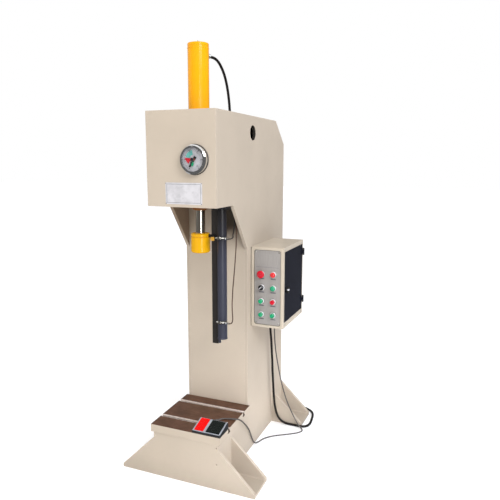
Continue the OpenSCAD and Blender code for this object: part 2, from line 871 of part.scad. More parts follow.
module hex_bolts() {
    color("dimgray") {
        for (p = flange_bolts)
            translate([p[0], p[1], flange_top_z]) hex_bolt(flange_t + seat_t - bolt_bite);
        for (p = post_bolts)
            translate([p[0], p[1], head_bottom_z - post_flange_h])
                rotate([180, 0, 0]) hex_bolt(post_flange_h + seat_t - bolt_bite);
    }
}

module piston_rod() {
    color("silver") {
        translate([0, 0, rod_seat_z]) cylinder(h = 2, d1 = rod_d - 4, d2 = rod_d);
        translate([0, 0, rod_seat_z + 2]) cylinder(h = piston_z - rod_seat_z - 2, d = rod_d);
        translate([0, 0, piston_z]) cylinder(h = piston_h + nut_h + 4, d = rod_end_d);
    }
}

module piston() {
    seal_h = 6;
    color("gray") difference() {
        union() {
            translate([0, 0, piston_z]) cylinder(h = piston_h, d = bore_d - 2 * run_gap);
            translate([0, 0, piston_z + piston_h]) linear_extrude(nut_h) hexagon(nut_af);
        }
        translate([0, 0, piston_z - over])
            cylinder(h = piston_h + nut_h + 2 * over, d = rod_end_d + 2 * run_gap);
        for (z = [0.25, 0.75])
            translate([0, 0, piston_z + z * piston_h - seal_h / 2]) difference() {
                cylinder(h = seal_h, d = bore_d + over);
                translate([0, 0, -over]) cylinder(h = seal_h + 2 * over, d = bore_d - 8);
            }
    }
}

module ram_head() {
    r = ram_head_d / 2;
    c = 5;
    color("gold") translate([0, 0, ram_head_z]) difference() {
        rotate_extrude() polygon([[0, 0], [r - c, 0], [r, c], [r, ram_head_h], [0, ram_head_h]]);
        translate([0, 0, -over]) cylinder(h = tool_bore_h + over, d = tool_bore_d);
        translate([0, 0, ram_head_h - rod_seat_h])
            cylinder(h = rod_seat_h + over, d = rod_d + 2 * run_gap);
    }
}

module clamp_collar() {
    r = ram_head_d / 2;
    bore_r = rod_d / 2 + run_gap;
    c = 4;
    color("gold") translate([0, 0, collar_z]) rotate_extrude()
        polygon([[bore_r, 0], [r, 0], [r, collar_h - c], [r - c, collar_h], [bore_r, collar_h]]);
}

module trip_arm() {
    disc_d = ram_head_d - 6;
    color("dimgray") {
        translate([0, 0, trip_z]) linear_extrude(trip_t) difference() {
            union() {
                circle(d = disc_d);
                translate([0, -arm_w / 2]) square([arm_end_x, arm_w]);
                translate([target_x[0] - 9, target_y]) square([11, -fork_gap - target_y]);
            }
            circle(d = rod_d + 2 * run_gap);
            translate([guide_edge_x - 1, -fork_gap]) square([arm_end_x, 2 * fork_gap]);
        }
        block([target_x[0], target_y, sensor_z[0] - target_h / 2],
            [target_x[1], target_y + target_t, sensor_z[0] + target_h / 2]);
    }
}

// ---------------------------------------------------------------- hose and grommets

// A crimped hose end that stands up from z = 0
module hose_end() {
    linear_extrude(fitting_hex_h) hexagon(fitting_af);
    translate([0, 0, fitting_hex_h]) cylinder(h = ferrule_h, d = ferrule_d);
}

module hose_fittings() {
    color("dimgray") {
        translate([0, barrel_r + boss_h, top_port_z]) rotate([-90, 0, 0]) hose_end();
        translate([0, hose_drop_y, lid_z + lid_h + valve_h]) hose_end();
    }
}

module hydraulic_hose() {
    color("black") lead(hose_route, hose_d, [1, 0, 0], 12);
}

// A rubber grommet that fills a hole in a plate from z = 0 up, lips on both sides
module grommet(hole_d, plate_t) {
    color("tan") {
        cylinder(h = plate_t, d = hole_d - 2 * run_gap);
        translate([0, 0, -grommet_lip]) cylinder(h = grommet_lip, d = hole_d + 6);
        translate([0, 0, plate_t]) cylinder(h = grommet_lip, d = hole_d + 6);
    }
}

module grommets() {
    difference() {
        translate([0, hose_drop_y, head_top_z - top_t]) grommet(hose_hole_d, top_t);
        translate([0, hose_drop_y, head_top_z - top_t - grommet_lip - over])
            cylinder(h = top_t + 2 * (grommet_lip + over), d = hose_d + 4);
    }
    translate([lead_hole[0], lead_hole[1], head_bottom_z]) grommet(lead_hole_d, seat_t);
}

// ---------------------------------------------------------------- guide post and sensors

module guide_post() {
    color("slategray") {
        difference() {
            translate([post_x, 0, post_end_z]) cylinder(h = post_h - post_flange_h, d = post_d);
            translate([post_x, 0, post_end_z - over])
                cylinder(h = post_h + 2 * over, d = post_d - 2 * post_wall);
        }
        block([guide_edge_x, -guide_t / 2, post_end_z - post_cap_h],
            [post_x - post_r + post_wall / 2, guide_t / 2, head_bottom_z - post_flange_h]);
        translate([post_x, 0, post_end_z - post_cap_h]) cylinder(h = post_cap_h, d = post_d + 2);
        translate([stud_x, 0, post_end_z - post_cap_h - stud_h])
            cylinder(h = stud_h, d = 13);
        difference() {
            block([post_flange_x[0], -post_flange_y, head_bottom_z - post_flange_h],
                [post_flange_x[1], post_flange_y, head_bottom_z]);
            for (p = post_bolts)
                translate([p[0], p[1], head_bottom_z - post_flange_h - over])
                    cylinder(h = post_flange_h + 2 * over, d = bolt_hole_d);
        }
    }
}

module sensor(z) {
    nut_gap = 0.2;
    nut_t = 4;
    color("silver") translate([sensor_face_x, sensor_y, z]) rotate([90, 0, 90]) {
        cylinder(h = sensor_len, d = sensor_d);
        translate([0, 0, sensor_len]) cylinder(h = sensor_tail, d = sensor_d + 1);
        for (x = [post_x - clip_w / 2 - nut_gap - nut_t, post_x + clip_w / 2 + nut_gap])
            translate([0, 0, x - sensor_face_x]) linear_extrude(nut_t) hexagon(sensor_nut_af);
    }
}

module sensor_upper() {
    sensor(sensor_z[0]);
}

module sensor_lower() {
    sensor(sensor_z[1]);
}

// Worm-drive bands round the post, each with a clip that holds its sensor
module sensor_bands() {
    band_r = post_r + run_gap;
    screw_h = 8;
    clip_y = sensor_y - sensor_d / 2 - 3;
    color("lightgray") for (z = sensor_z) translate([0, 0, z]) {
        difference() {
            union() {
                translate([post_x, 0, -band_h / 2]) cylinder(h = band_h, r = band_r + band_t);
                block([post_x - 7, band_r, -band_h / 2],
                    [post_x + 7, band_r + screw_h, band_h / 2]);
                block([post_x - clip_w / 2, clip_y, -sensor_d / 2 - 2.5],
                    [post_x + clip_w / 2, -band_r + 2, sensor_d / 2 + 2.5]);
            }
            translate([post_x, 0, -band_h - over])
                cylinder(h = 2 * (band_h + over), r = band_r);
            block([guide_edge_x, -fork_gap, -band_h], [post_x, fork_gap, band_h]);
            rod_x([post_x - clip_w / 2 - over, sensor_y, 0], clip_w + 2 * over,
                sensor_d + 2 * run_gap);
        }
    }
}

module sensor_lead_upper() {
    color("darkslategray") lead(upper_lead_route, sensor_lead_d, [0, 0, 1]);
}

module sensor_lead_lower() {
    color("sienna") lead(lower_lead_route, sensor_lead_d, [0, 0, 1]);
}

// ---------------------------------------------------------------- gauge

module at_gauge() {
    translate([gauge_x, head_front_y, gauge_z]) rotate([90, 0, 0]) children();
}

module gauge_case() {
    lip_r = glass_r - 4;
    seat_r = glass_r - 3;
    color("silver") at_gauge() {
        rotate_extrude() polygon([[0, -can_h], [can_d / 2, -can_h], [can_d / 2, 0],
            [bezel_r, 0], [bezel_r, bezel_h - 5], [bezel_r - 5, bezel_h], [lip_r, bezel_h],
            [lip_r, glass_z + glass_h + 0.1], [glass_r + 0.1, glass_z + glass_h + 0.1],
            [glass_r + 0.1, glass_z], [seat_r, glass_z], [seat_r, dial_seat_h],
            [0, dial_seat_h]]);
        translate([0, 0, -can_h - stem_h]) cylinder(h = stem_h, d = 16);
    }
}

module gauge_dial() {
    knob_d = 12;
    color("white") at_gauge() translate([0, 0, dial_seat_h]) {
        cylinder(h = dial_t, r = dial_r);
        cylinder(h = bezel_h - dial_seat_h, d = spindle_d);
        translate([0, 0, glass_z + glass_h + rest_gap - dial_seat_h]) cylinder(h = 7, d = knob_d);
    }
}

module gauge_glass() {
    color("lightcyan") at_gauge() translate([0, 0, glass_z]) difference() {
        cylinder(h = glass_h, r = glass_r);
        translate([0, 0, -over]) cylinder(h = glass_h + 2 * over, d = spindle_d + 2 * rest_gap);
    }
}

// A pointer on the spindle: a blade, a tail, and a flag near its tip for a set pointer
module pointer(i, w, tail, flag) {
    at_gauge() translate([0, 0, pointer_z[i]]) rotate(pointer_angle[i])
        linear_extrude(pointer_t) difference() {
            union() {
                circle(d = hub_d);
                polygon([[0, -w], [pointer_len[i], -0.6], [pointer_len[i], 0.6], [0, w]]);
                if (tail > 0)
                    translate([-tail, -w]) square([tail, 2 * w]);
                if (flag > 0)
                    translate([pointer_len[i] - 20, -flag / 2]) square([14, flag]);
            }
            circle(d = spindle_d + 2 * run_gap);
        }
}

module gauge_pointer() {
    color("black") pointer(0, 2, 14, 0);
}

module low_set_pointer() {
    color("seagreen") pointer(1, 1.5, 0, 9);
}

module high_set_pointer() {
    color("red") pointer(2, 1.5, 0, 9);
}

// ---------------------------------------------------------------- control box

// Frame of a control: column 0 or 1, row 0 at the top
module at_control(column, row) {
    translate([control_x[column], panel_y, control_z[row]]) rotate([90, 0, 0]) children();
}

module control_holes(d) {
    for (column = [0, 1], row = [0:3])
        translate([control_x[column], control_z[row]]) circle(d = d);
}

module control_box() {
    open_y = [door_y - door_gap, door_y + door_w + door_gap];
    open_z = [door_z - door_gap, door_z + door_h + door_gap];
    wall_x = box_right_x - sheet_t;
    color("blanchedalmond") {
        difference() {
            block([box_x, box_y, box_z], [box_right_x, box_rear_y, box_top_z]);
            block([box_x + sheet_t, box_y + sheet_t, box_z + sheet_t],
                [wall_x, box_rear_y - sheet_t, box_top_z - sheet_t]);
            block([wall_x - over, open_y[0], open_z[0]],
                [box_right_x + over, open_y[1], open_z[1]]);
            extrude_y(box_y - over, sheet_t + 2 * over) control_holes(control_hole_d);
            rod_x([box_x - over, wire_hole_y, wire_hole_z], sheet_t + 2 * over, wire_hole_d);
            for (y = gland_y)
                translate([gland_x, y, box_z - over])
                    cylinder(h = sheet_t + 2 * over, d = 20.4);
        }
        difference() {
            block([wall_x - lip_t, open_y[0] - lip_w, open_z[0] - lip_w],
                [wall_x, open_y[1] + lip_w, open_z[1] + lip_w]);
            block([wall_x - lip_t - over, open_y[0] + lip_w, open_z[0] + lip_w],
                [wall_x + over, open_y[1] - lip_w, open_z[1] - lip_w]);
        }
        extrude_y(box_y - rim_h, rim_h) difference() {
            translate([box_mid_x, box_mid_z]) rounded_rect(box_w - 4, box_h - 4, rim_r);
            translate([panel_mid_x, panel_z]) rounded_rect(panel_w + 4, panel_h + 4, rim_r - 2);
        }
    }
}

module operator_panel() {
    color("silver") extrude_y(panel_y, panel_t) difference() {
        translate([panel_mid_x, panel_z]) rounded_rect(panel_w, panel_h, rim_r - 4);
        control_holes(control_hole_d);
    }
}

module control_door() {
    knuckle_h = hinge_half_h * 0.7;
    color("#26262e") {
        difference() {
            block([door_x, door_y, door_z], [door_x + door_t, door_y + door_w, door_z + door_h]);
            rod_x([door_x - over, lock_y, lock_z], door_t + 2 * over, lock_d + 2 * run_gap);
        }
        for (z = hinge_z) difference() {
            union() {
                translate([hinge_x, hinge_y, z - knuckle_h / 2]) cylinder(h = knuckle_h, d = knuckle_d);
                block([door_x + door_t, hinge_y - 16, z - knuckle_h / 2],
                    [hinge_x + 1, hinge_y - 3, z + knuckle_h / 2]);
            }
            translate([hinge_x, hinge_y, z - hinge_half_h])
                cylinder(h = 2 * hinge_half_h, d = hinge_pin_d + 2 * run_gap);
        }
    }
}

module hinge_pins() {
    knuckle_h = hinge_half_h * 0.65 - rest_gap;
    color("black") for (z = hinge_z) {
        translate([hinge_x, hinge_y, z - hinge_half_h - 2])
            cylinder(h = 2 * hinge_half_h + 4, d = hinge_pin_d);
        for (z0 = [z - hinge_half_h, z + hinge_half_h - knuckle_h]) {
            translate([hinge_x, hinge_y, z0]) cylinder(h = knuckle_h, d = knuckle_d);
            block([box_right_x, hinge_y, z0], [hinge_x, hinge_y + knuckle_d / 2, z0 + knuckle_h]);
        }
    }
}

module door_lock() {
    knob_x = door_x + door_t + rest_gap;
    cam_x = door_x - 10;
    color("dimgray") {
        rod_x([cam_x, lock_y, lock_z], knob_x - cam_x, lock_d);
        rod_x([knob_x, lock_y, lock_z], 6, 26);
        block([knob_x + 6, lock_y - 3, lock_z - 17], [knob_x + 13, lock_y + 3, lock_z + 17]);
        block([cam_x, lock_y - 6, lock_z], [cam_x + 4, lock_y + 6, lock_z + cam_len]);
    }
}

module control_collars() {
    stem_r = stem_d / 2 + run_gap;
    cup_r = button_d / 2 + 0.4;
    color("gainsboro") for (column = [0, 1], row = [0:3]) at_control(column, row) {
        rotate_extrude() polygon([[stem_r, -sleeve_h], [sleeve_d / 2, -sleeve_h],
            [sleeve_d / 2, 0], [collar_d / 2, 0], [collar_d / 2, cup_h - 3],
            [collar_d / 2 - 1.5, cup_h], [cup_r, cup_h], [cup_r, cup_z], [stem_r, cup_z]]);
        translate([-14, -14, -sleeve_h - block_h]) cube([28, 28, block_h]);
    }
}

module signal_lamps() {
    foot_r = button_d / 2;
    lens_r = cover_d / 2;
    rim_z = cup_h + rest_gap;
    color("orangered") for (row = [0, 1]) at_control(1, row) rotate_extrude()
        polygon([[0, cup_z], [foot_r, cup_z], [foot_r, rim_z], [lens_r, rim_z],
            [lens_r, rim_z + 4], [lens_r - 3, rim_z + 7], [lens_r - 7, rim_z + 8.5],
            [0, rim_z + 9]]);
}

// A push button: a cap in the collar's cup on a stem in its sleeve
module push_button(column, row) {
    cap_r = button_d / 2;
    face_z = cup_h + button_rise;
    at_control(column, row) rotate_extrude()
        polygon([[0, -stem_end_z], [stem_d / 2, -stem_end_z], [stem_d / 2, cap_rest_z],
            [cap_r, cap_rest_z], [cap_r, face_z - 2], [cap_r - 1.5, face_z - 0.5],
            [0, face_z]]);
}

module pump_start_button() {
    color("mediumseagreen") push_button(0, 2);
}

module pump_stop_button() {
    color("crimson") push_button(1, 2);
}

module ram_down_button() {
    color("mediumseagreen") push_button(0, 3);
}

module ram_up_button() {
    color("mediumseagreen") push_button(1, 3);
}

module e_stop_button() {
    head_r = mushroom_d / 2;
    neck_r = button_d / 2 - 1;
    head_z = cup_h + button_travel + 1.5;
    color("crimson") at_control(0, 0) rotate_extrude()
        polygon([[0, -stem_end_z], [stem_d / 2, -stem_end_z], [stem_d / 2, cap_rest_z],
            [neck_r, cap_rest_z], [neck_r, head_z], [head_r - 1, head_z], [head_r, head_z + 2],
            [head_r, head_z + 6], [head_r - 3, head_z + 9], [head_r - 8, head_z + 11],
            [0, head_z + 12]]);
}

module selector_knob() {
    hub_r = button_d / 2 - 0.1;
    skirt_h = 5;
    grip = [cover_d - 1, 8, 10];
    color("black") at_control(0, 1) {
        translate([0, 0, -stem_end_z]) cylinder(h = stem_end_z + cup_z + rest_gap, d = stem_d);
        translate([0, 0, cup_z + rest_gap]) cylinder(h = cup_h, r = hub_r);
        translate([0, 0, cup_h + rest_gap]) cylinder(h = skirt_h, d = cover_d);
        translate([0, 0, cup_h + skirt_h - 1]) rotate(45)
            translate([-grip[0] / 2, -grip[1] / 2, 0]) cube(grip);
    }
}

// Mounting plate with contactors, a terminal strip and a transformer
module switch_gear() {
    plate_t = 2;
    post_h = gear_x - box_x - sheet_t;
    face_x = gear_x + plate_t;
    color("lightgray") {
        block([gear_x, gear_y, gear_z], [face_x, gear_y + gear_w, gear_z + gear_h]);
        for (y = [gear_y + 15, gear_y + gear_w - 15], z = [gear_z + 15, gear_z + gear_h - 15])
            rod_x([gear_x - post_h, y, z], post_h, 10);
        for (i = [0:2])
            translate([face_x, gear_y + gear_edge + i * contactor_pitch, contactor_z])
                cube(contactor);
        for (i = [0:2])
            translate([face_x, gear_y + gear_edge + i * fuse_pitch, fuse_z]) cube(fuse);
        translate([face_x, gear_y + transformer_at[0], gear_z + transformer_at[1]])
            cube(transformer);
        for (i = [0:terminal_count - 1])
            translate([face_x, gear_y + gear_edge + i * terminal_pitch, gear_z + terminal_rise])
                cube(terminal);
    }
}

module cable_glands() {
    color("black") for (y = gland_y) translate([gland_x, y, box_z]) {
        translate([0, 0, -10]) linear_extrude(10) hexagon(26);
        translate([0, 0, -gland_drop + 8]) cylinder(h = gland_drop - 18, d = 22);
        translate([0, 0, -gland_drop]) cylinder(h = 8, d1 = 16, d2 = 21);
        cylinder(h = sheet_t, d = 20);
        translate([0, 0, sheet_t]) linear_extrude(5) hexagon(26);
    }
}

// ---------------------------------------------------------------- foot switch

// Top line of the foot switch's body at a given y
function pedal_top(y) = table_top_z + pedal_front_h
    + (pedal_base_h - pedal_front_h) * min(1, (y - pedal_y) / (pedal_base_d - 12));

module foot_switch_base() {
    back_y = pedal_y + pedal_base_d;
    well_y = pedal_y + 5;
    color("lightgray") difference() {
        union() {
            extrude_x(pedal_x, pedal_base_w) polygon([[pedal_y, table_top_z],
                [back_y, table_top_z], [back_y, table_top_z + pedal_base_h - 7],
                [back_y - 5, table_top_z + pedal_base_h - 1],
                [back_y - 12, table_top_z + pedal_base_h], [pedal_y, pedal_top(pedal_y)]]);
            translate([relief_x, back_y, relief_z]) rotate([-90, 0, 0])
                cylinder(h = relief_h, d1 = 13, d2 = 9);
        }
        for (w = [[red_pedal_x, red_pedal_w], [black_pedal_x, black_pedal_w]]) difference() {
            block([w[0], well_y, pedal_well_z],
                [w[0] + w[1], pedal_well_end, table_top_z + pedal_base_h + over]);
            rod_x([w[0] - over, pedal_pin_y, pedal_pin_z], w[1] + 2 * over, pedal_pin_d);
        }
    }
}

// A pedal on its pin: it stands proud of the body and clears its well
module pedal(x0, w) {
    front_y = pedal_y + 6.5;
    end_y = pedal_well_end - 1.5;
    proud = 2.5;
    lean = 3;
    swing_room = 9;
    extrude_x(x0 + pedal_side_gap, w - 2 * pedal_side_gap) difference() {
        polygon([[front_y, pedal_pin_z - 3], [front_y + 2, pedal_pin_z - 4.2],
            [pedal_pin_y + 5, pedal_pin_z - 4.2], [end_y, pedal_well_z + swing_room],
            [end_y - lean, pedal_top(end_y) + proud], [front_y, pedal_top(front_y) + proud]]);
        translate([pedal_pin_y, pedal_pin_z]) circle(d = pedal_pin_d + 2 * run_gap);
    }
}

module red_pedal() {
    color("red") pedal(red_pedal_x, red_pedal_w);
}

module black_pedal() {
    color("darkslategray") pedal(black_pedal_x, black_pedal_w);
}

module pedal_lead() {
    color("gray") lead(pedal_route, pedal_lead_d, [1, 0, 0]);
}

// ---------------------------------------------------------------- mains lead

// The tail runs off the coil's upper layer to the plug
tail_y = coil_centre[1] - coil_touch;
tail_route = [[coil_centre[0] - 1, tail_y, 19.5], [0, tail_y, 20], [-25, tail_y, 23],
    [-50, tail_y, plug_d / 2], [plug_x, tail_y, plug_d / 2]];

module mains_lead() {
    color("black") {
        lead(mains_route, mains_lead_d, [1, 0, 0]);
        lead(tail_route, mains_lead_d, [0, 1, 0]);
    }
}

module mains_coil() {
    color("black") translate([coil_centre[0], coil_centre[1], 0]) rotate_extrude()
        polygon([[coil_inner_r, 3], [coil_inner_r + 3, 0], [coil_outer_r - 3, 0],
            [coil_outer_r, 3], [coil_outer_r, 2 * mains_lead_d - 3],
            [coil_outer_r - 3, 2 * mains_lead_d], [coil_inner_r + 3, 2 * mains_lead_d],
            [coil_inner_r, 2 * mains_lead_d - 3]]);
}

module mains_plug() {
    collar_len = 22;
    color("crimson") translate([plug_x, tail_y, plug_d / 2]) rotate([0, -90, 0])
        rotate_extrude() polygon([[0, 0], [10, 0], [12, collar_len], [22, collar_len + 8],
            [22, plug_len - 45], [plug_d / 2, plug_len - 42], [plug_d / 2, plug_len],
            [plug_d / 2 - 3, plug_len], [plug_d / 2 - 3, plug_len - 30], [0, plug_len - 30]]);
}

// ---------------------------------------------------------------- power unit

module oil_tank() {
    color("lightslategray") difference() {
        block([-inner_x, tank_y, tank_z], [inner_x, tank_y + tank_d, lid_z]);
        block([-inner_x + tank_wall, tank_y + tank_wall, tank_z + tank_wall],
            [inner_x - tank_wall, tank_y + tank_d - tank_wall, lid_z + over]);
    }
}

// Tank lid with the motor, the pump under it, the valve block and the steel pipes
module power_unit() {
    lid_top = lid_z + lid_h;
    valve_top = lid_top + valve_h;
    stem_y = head_front_y + can_h + stem_h;
    color("steelblue") {
        block([-inner_x + rest_gap, tank_y, lid_z], [inner_x - rest_gap, tank_y + tank_d, lid_top]);
        translate([0, motor_y, lid_top]) {
            cylinder(h = motor_h * 0.8, d = motor_d);
            translate([0, 0, motor_h * 0.8]) cylinder(h = motor_h * 0.2, d = motor_d - 8);
        }
        translate([0, motor_y, lid_z - 130]) cylinder(h = 131, d = 90);
        block([-50, hose_drop_y - 90, lid_top], [95, hose_drop_y + 40, valve_top]);
        translate([0, pipe_y, valve_top - over]) cylinder(h = low_port_z - valve_top + over, d = pipe_d);
        translate([0, pipe_y, low_port_z]) sphere(d = pipe_d);
        rod_y([0, pipe_end_y, low_port_z], pipe_y - pipe_end_y, pipe_d);
        translate([gauge_x, pipe_y, valve_top - over])
            cylinder(h = gauge_z - valve_top + over, d = gauge_pipe_d);
        translate([gauge_x, pipe_y, gauge_z]) sphere(d = gauge_pipe_d);
        rod_y([gauge_x, stem_y, gauge_z], pipe_y - stem_y, gauge_pipe_d);
    }
}

// ---------------------------------------------------------------- nodes

side_plate_left();
side_plate_right();
head_front_plate();
head_top_plate();
head_bottom_plate();
column_front_plate();
rear_plate();
rear_cover();
base_front_plate();
front_feet();
rear_feet();
table_plate();
blank_plate();
cylinder_barrel();
cylinder_gland();
hex_bolts();
piston_rod();
piston();
ram_head();
clamp_collar();
trip_arm();
hose_fittings();
hydraulic_hose();
grommets();
guide_post();
sensor_upper();
sensor_lower();
sensor_bands();
sensor_lead_upper();
sensor_lead_lower();
gauge_case();
gauge_dial();
gauge_glass();
gauge_pointer();
low_set_pointer();
high_set_pointer();
control_box();
operator_panel();
control_door();
hinge_pins();
door_lock();
control_collars();
signal_lamps();
e_stop_button();
selector_knob();
pump_start_button();
pump_stop_button();
ram_down_button();
ram_up_button();
switch_gear();
cable_glands();
foot_switch_base();
red_pedal();
black_pedal();
pedal_lead();
mains_lead();
mains_coil();
mains_plug();
oil_tank();
power_unit();
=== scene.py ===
"""Looks of the c-frame hydraulic press: camera, cords, materials, added detail and studio."""

import math

import bpy
from mathutils import Matrix, Vector


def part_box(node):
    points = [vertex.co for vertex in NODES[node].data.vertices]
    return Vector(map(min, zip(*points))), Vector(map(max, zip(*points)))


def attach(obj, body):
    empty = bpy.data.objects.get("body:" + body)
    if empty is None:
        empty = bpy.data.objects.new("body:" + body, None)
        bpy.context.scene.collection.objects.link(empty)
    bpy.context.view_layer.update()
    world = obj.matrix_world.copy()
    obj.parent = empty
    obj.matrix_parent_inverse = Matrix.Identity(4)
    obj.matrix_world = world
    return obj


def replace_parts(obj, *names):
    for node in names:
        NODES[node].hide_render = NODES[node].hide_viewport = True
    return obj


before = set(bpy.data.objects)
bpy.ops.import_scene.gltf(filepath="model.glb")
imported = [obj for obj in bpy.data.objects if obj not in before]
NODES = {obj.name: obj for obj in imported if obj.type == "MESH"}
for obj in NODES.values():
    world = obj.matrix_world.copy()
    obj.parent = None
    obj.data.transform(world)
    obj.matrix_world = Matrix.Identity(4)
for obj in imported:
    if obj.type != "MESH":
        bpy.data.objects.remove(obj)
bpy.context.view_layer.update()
MM = 0.001


# ---------------------------------------------------------------- camera

def make_camera():
    """A standing photographer's view of the front and the control box's side."""
    yaw, pitch, roll = math.radians(22.12), math.radians(9.41), math.radians(0.12)
    data = bpy.data.cameras.new("camera")
    data.sensor_width, data.lens = 36, 38.17
    data.clip_start, data.clip_end = 0.05, 100
    camera = bpy.data.objects.new("camera", data)
    camera.location = (1.148, -2.206, 1.5)
    turn = Matrix.Rotation(yaw, 4, "Z") @ Matrix.Rotation(math.pi / 2 - pitch, 4, "X")
    camera.rotation_euler = (turn @ Matrix.Rotation(roll, 4, "Z")).to_euler()
    bpy.context.scene.collection.objects.link(camera)
    bpy.context.scene.camera = camera


make_camera()


# ---------------------------------------------------------------- node trees

class Graph:
    """Adds nodes to a shader tree and joins them."""

    def __init__(self, tree):
        self.tree = tree

    def add(self, kind, **settings):
        node = self.tree.nodes.new("ShaderNode" + kind)
        for key, value in settings.items():
            setattr(node, key, value)
        return node

    def join(self, output, target):
        self.tree.links.new(output, target)

    def feed(self, socket, value):
        """Gives a socket a number, a colour or another node's output."""
        if isinstance(value, tuple):
            socket.default_value = (*value, 1)
        elif isinstance(value, (int, float)):
            socket.default_value = value
        elif value is not None:
            self.join(value, socket)

    def part_of(self, vector, index):
        split = self.add("SeparateXYZ")
        self.join(vector, split.inputs[0])
        return split.outputs[index]

    def ramp(self, value, low, high, out_low=0.0, out_high=1.0):
        """A smooth step from out_low at low to out_high at high."""
        node = self.add("MapRange", interpolation_type="SMOOTHSTEP")
        limits = {"From Min": low, "From Max": high, "To Min": out_low, "To Max": out_high}
        for key, number in limits.items():
            node.inputs[key].default_value = number
        self.join(value, node.inputs["Value"])
        return node.outputs["Result"]

    def math(self, operation, a, b=0.0):
        node = self.add("Math", operation=operation)
        self.feed(node.inputs[0], a)
        self.feed(node.inputs[1], b)
        return node.outputs[0]

    def times(self, a, b):
        return self.math("MULTIPLY", a, b)

    def plus(self, a, b):
        return self.math("ADD", a, b)

    def minus(self, a, b):
        return self.math("SUBTRACT", a, b)

    def less(self, a, b):
        return self.math("LESS_THAN", a, b)

    def more(self, a, b):
        return self.math("GREATER_THAN", a, b)

    def larger(self, a, b):
        return self.math("MAXIMUM", a, b)

    def size(self, a):
        return self.math("ABSOLUTE", a)

    def distance(self, a, b):
        return self.math("SQRT", self.plus(self.math("POWER", a, 2), self.math("POWER", b, 2)))

    def mix(self, factor, a, b):
        node = self.add("Mix", data_type="RGBA")
        for index, value in ((0, factor), (6, a), (7, b)):
            self.feed(node.inputs[index], value)
        return node.outputs[2]


class Nodes(Graph):
    """Builds one node material around its Principled shader."""

    def __init__(self, name):
        self.material = bpy.data.materials.new(name)
        self.material.use_nodes = True
        super().__init__(self.material.node_tree)
        self.shader = self.tree.nodes["Principled BSDF"]

    def place(self):
        return self.add("TexCoord").outputs["Object"]

    def axis(self, index):
        return self.part_of(self.place(), index)

    def facing(self, index):
        """One part of the surface's own direction: 0 is X, 1 is Y, 2 is Z."""
        return self.part_of(self.add("NewGeometry").outputs["Normal"], index)

    def stretched(self, scale):
        mapping = self.add("Mapping")
        mapping.inputs["Scale"].default_value = scale
        self.join(self.place(), mapping.inputs["Vector"])
        return mapping.outputs["Vector"]

    def noise(self, scale, detail=3.0, roughness=0.5, vector=None):
        node = self.add("TexNoise")
        node.inputs["Scale"].default_value = scale
        node.inputs["Detail"].default_value = detail
        node.inputs["Roughness"].default_value = roughness
        self.join(vector or self.place(), node.inputs["Vector"])
        return node.outputs["Fac"]

    def stripes(self, scale, direction, distortion=0.0):
        node = self.add("TexWave", wave_type="BANDS", bands_direction=direction)
        node.inputs["Scale"].default_value = scale
        node.inputs["Distortion"].default_value = distortion
        self.join(self.place(), node.inputs["Vector"])
        return node.outputs["Fac"]

    def bump(self, height, distance, strength=1.0, under=None):
        node = self.add("Bump")
        node.inputs["Distance"].default_value = distance
        node.inputs["Strength"].default_value = strength
        self.join(height, node.inputs["Height"])
        self.feed(node.inputs["Normal"], under)
        return node.outputs["Normal"]

    def edges(self, radius):
        """0 on flat faces, up to 1 along sharp edges."""
        rounded_off = self.add("Bevel", samples=4)
        rounded_off.inputs["Radius"].default_value = radius
        likeness = self.add("VectorMath", operation="DOT_PRODUCT")
        self.join(rounded_off.outputs[0], likeness.inputs[0])
        self.join(self.add("NewGeometry").outputs["Normal"], likeness.inputs[1])
        return self.ramp(self.minus(1.0, likeness.outputs["Value"]), 0.01, 0.12)

    def finish(self, colour=None, roughness=None, normal=None, **fixed):
        for key, value in (("Base Color", colour), ("Roughness", roughness), ("Normal", normal)):
            self.feed(self.shader.inputs[key], value)
        for key, value in fixed.items():
            self.shader.inputs[key.replace("_", " ")].default_value = value
        return self.material


def scaled(colour, factor):
    """A lighter or darker shade of a colour."""
    return tuple(c * factor for c in colour)


# ---------------------------------------------------------------- kinds of surface

def sprayed(n, colour):
    """The slow drift of shade in a sprayed coat."""
    return n.mix(n.ramp(n.noise(2.6, 4), 0.3, 0.7), scaled(colour, 0.955), scaled(colour, 1.035))


def paint(name, colour, gloss=0.35, grime=0.5, peel=0.12, shine=0.35, stain=None):
    """Sprayed enamel: shade drift, orange peel, edges lightened as rubbed paint and as a painted highlight,
    a few chips, dust near the floor.

    Its last argument is a function that gives the share and the colour of painted shade laid over the
    paint.
    """
    n = Nodes(name)
    base = sprayed(n, colour)
    smudge = n.ramp(n.noise(11, 6, 0.65), 0.56, 0.78, 0, 0.16 * grime)
    base = n.mix(smudge, base, scaled(colour, 0.55))
    low = n.ramp(n.plus(n.axis(2), n.times(n.noise(24, 4), 0.05)), 0.02, 0.13, 1, 0)
    base = n.mix(n.times(low, 0.34 * grime), base, (0.16, 0.13, 0.10))
    chips = n.ramp(n.noise(150, 2, 0.4), 0.80, 0.83, 0, 0.55 * grime)
    base = n.mix(chips, base, (0.09, 0.075, 0.06))
    # Painted shade laid over the paint where the passed function says.
    if stain:
        share, film_and_shade = stain(n)
        base = n.mix(share, base, film_and_shade)
    # Lighter edges: partly rubbed paint, partly a painted highlight along them.
    rubbed_and_highlit = n.times(n.edges(0.0035), n.ramp(n.noise(30, 3), 0.35, 0.6, 0.25, 0.6))
    base = n.mix(rubbed_and_highlit, base, tuple(min(1.0, c * 1.35 + 0.03) for c in colour))
    rough = n.ramp(n.noise(7, 4), 0.3, 0.7, gloss - 0.05, gloss + 0.07)
    rough = n.plus(rough, n.times(low, 0.2))
    fine = n.bump(n.noise(420, 2, 0.5), 0.00035, peel)
    wavy = n.bump(n.noise(9, 2, 0.4), 0.004, 0.06, fine)
    return n.finish(base, rough, wavy, Specular_IOR_Level=shine, Coat_Weight=shine / 6, Coat_Roughness=0.18)


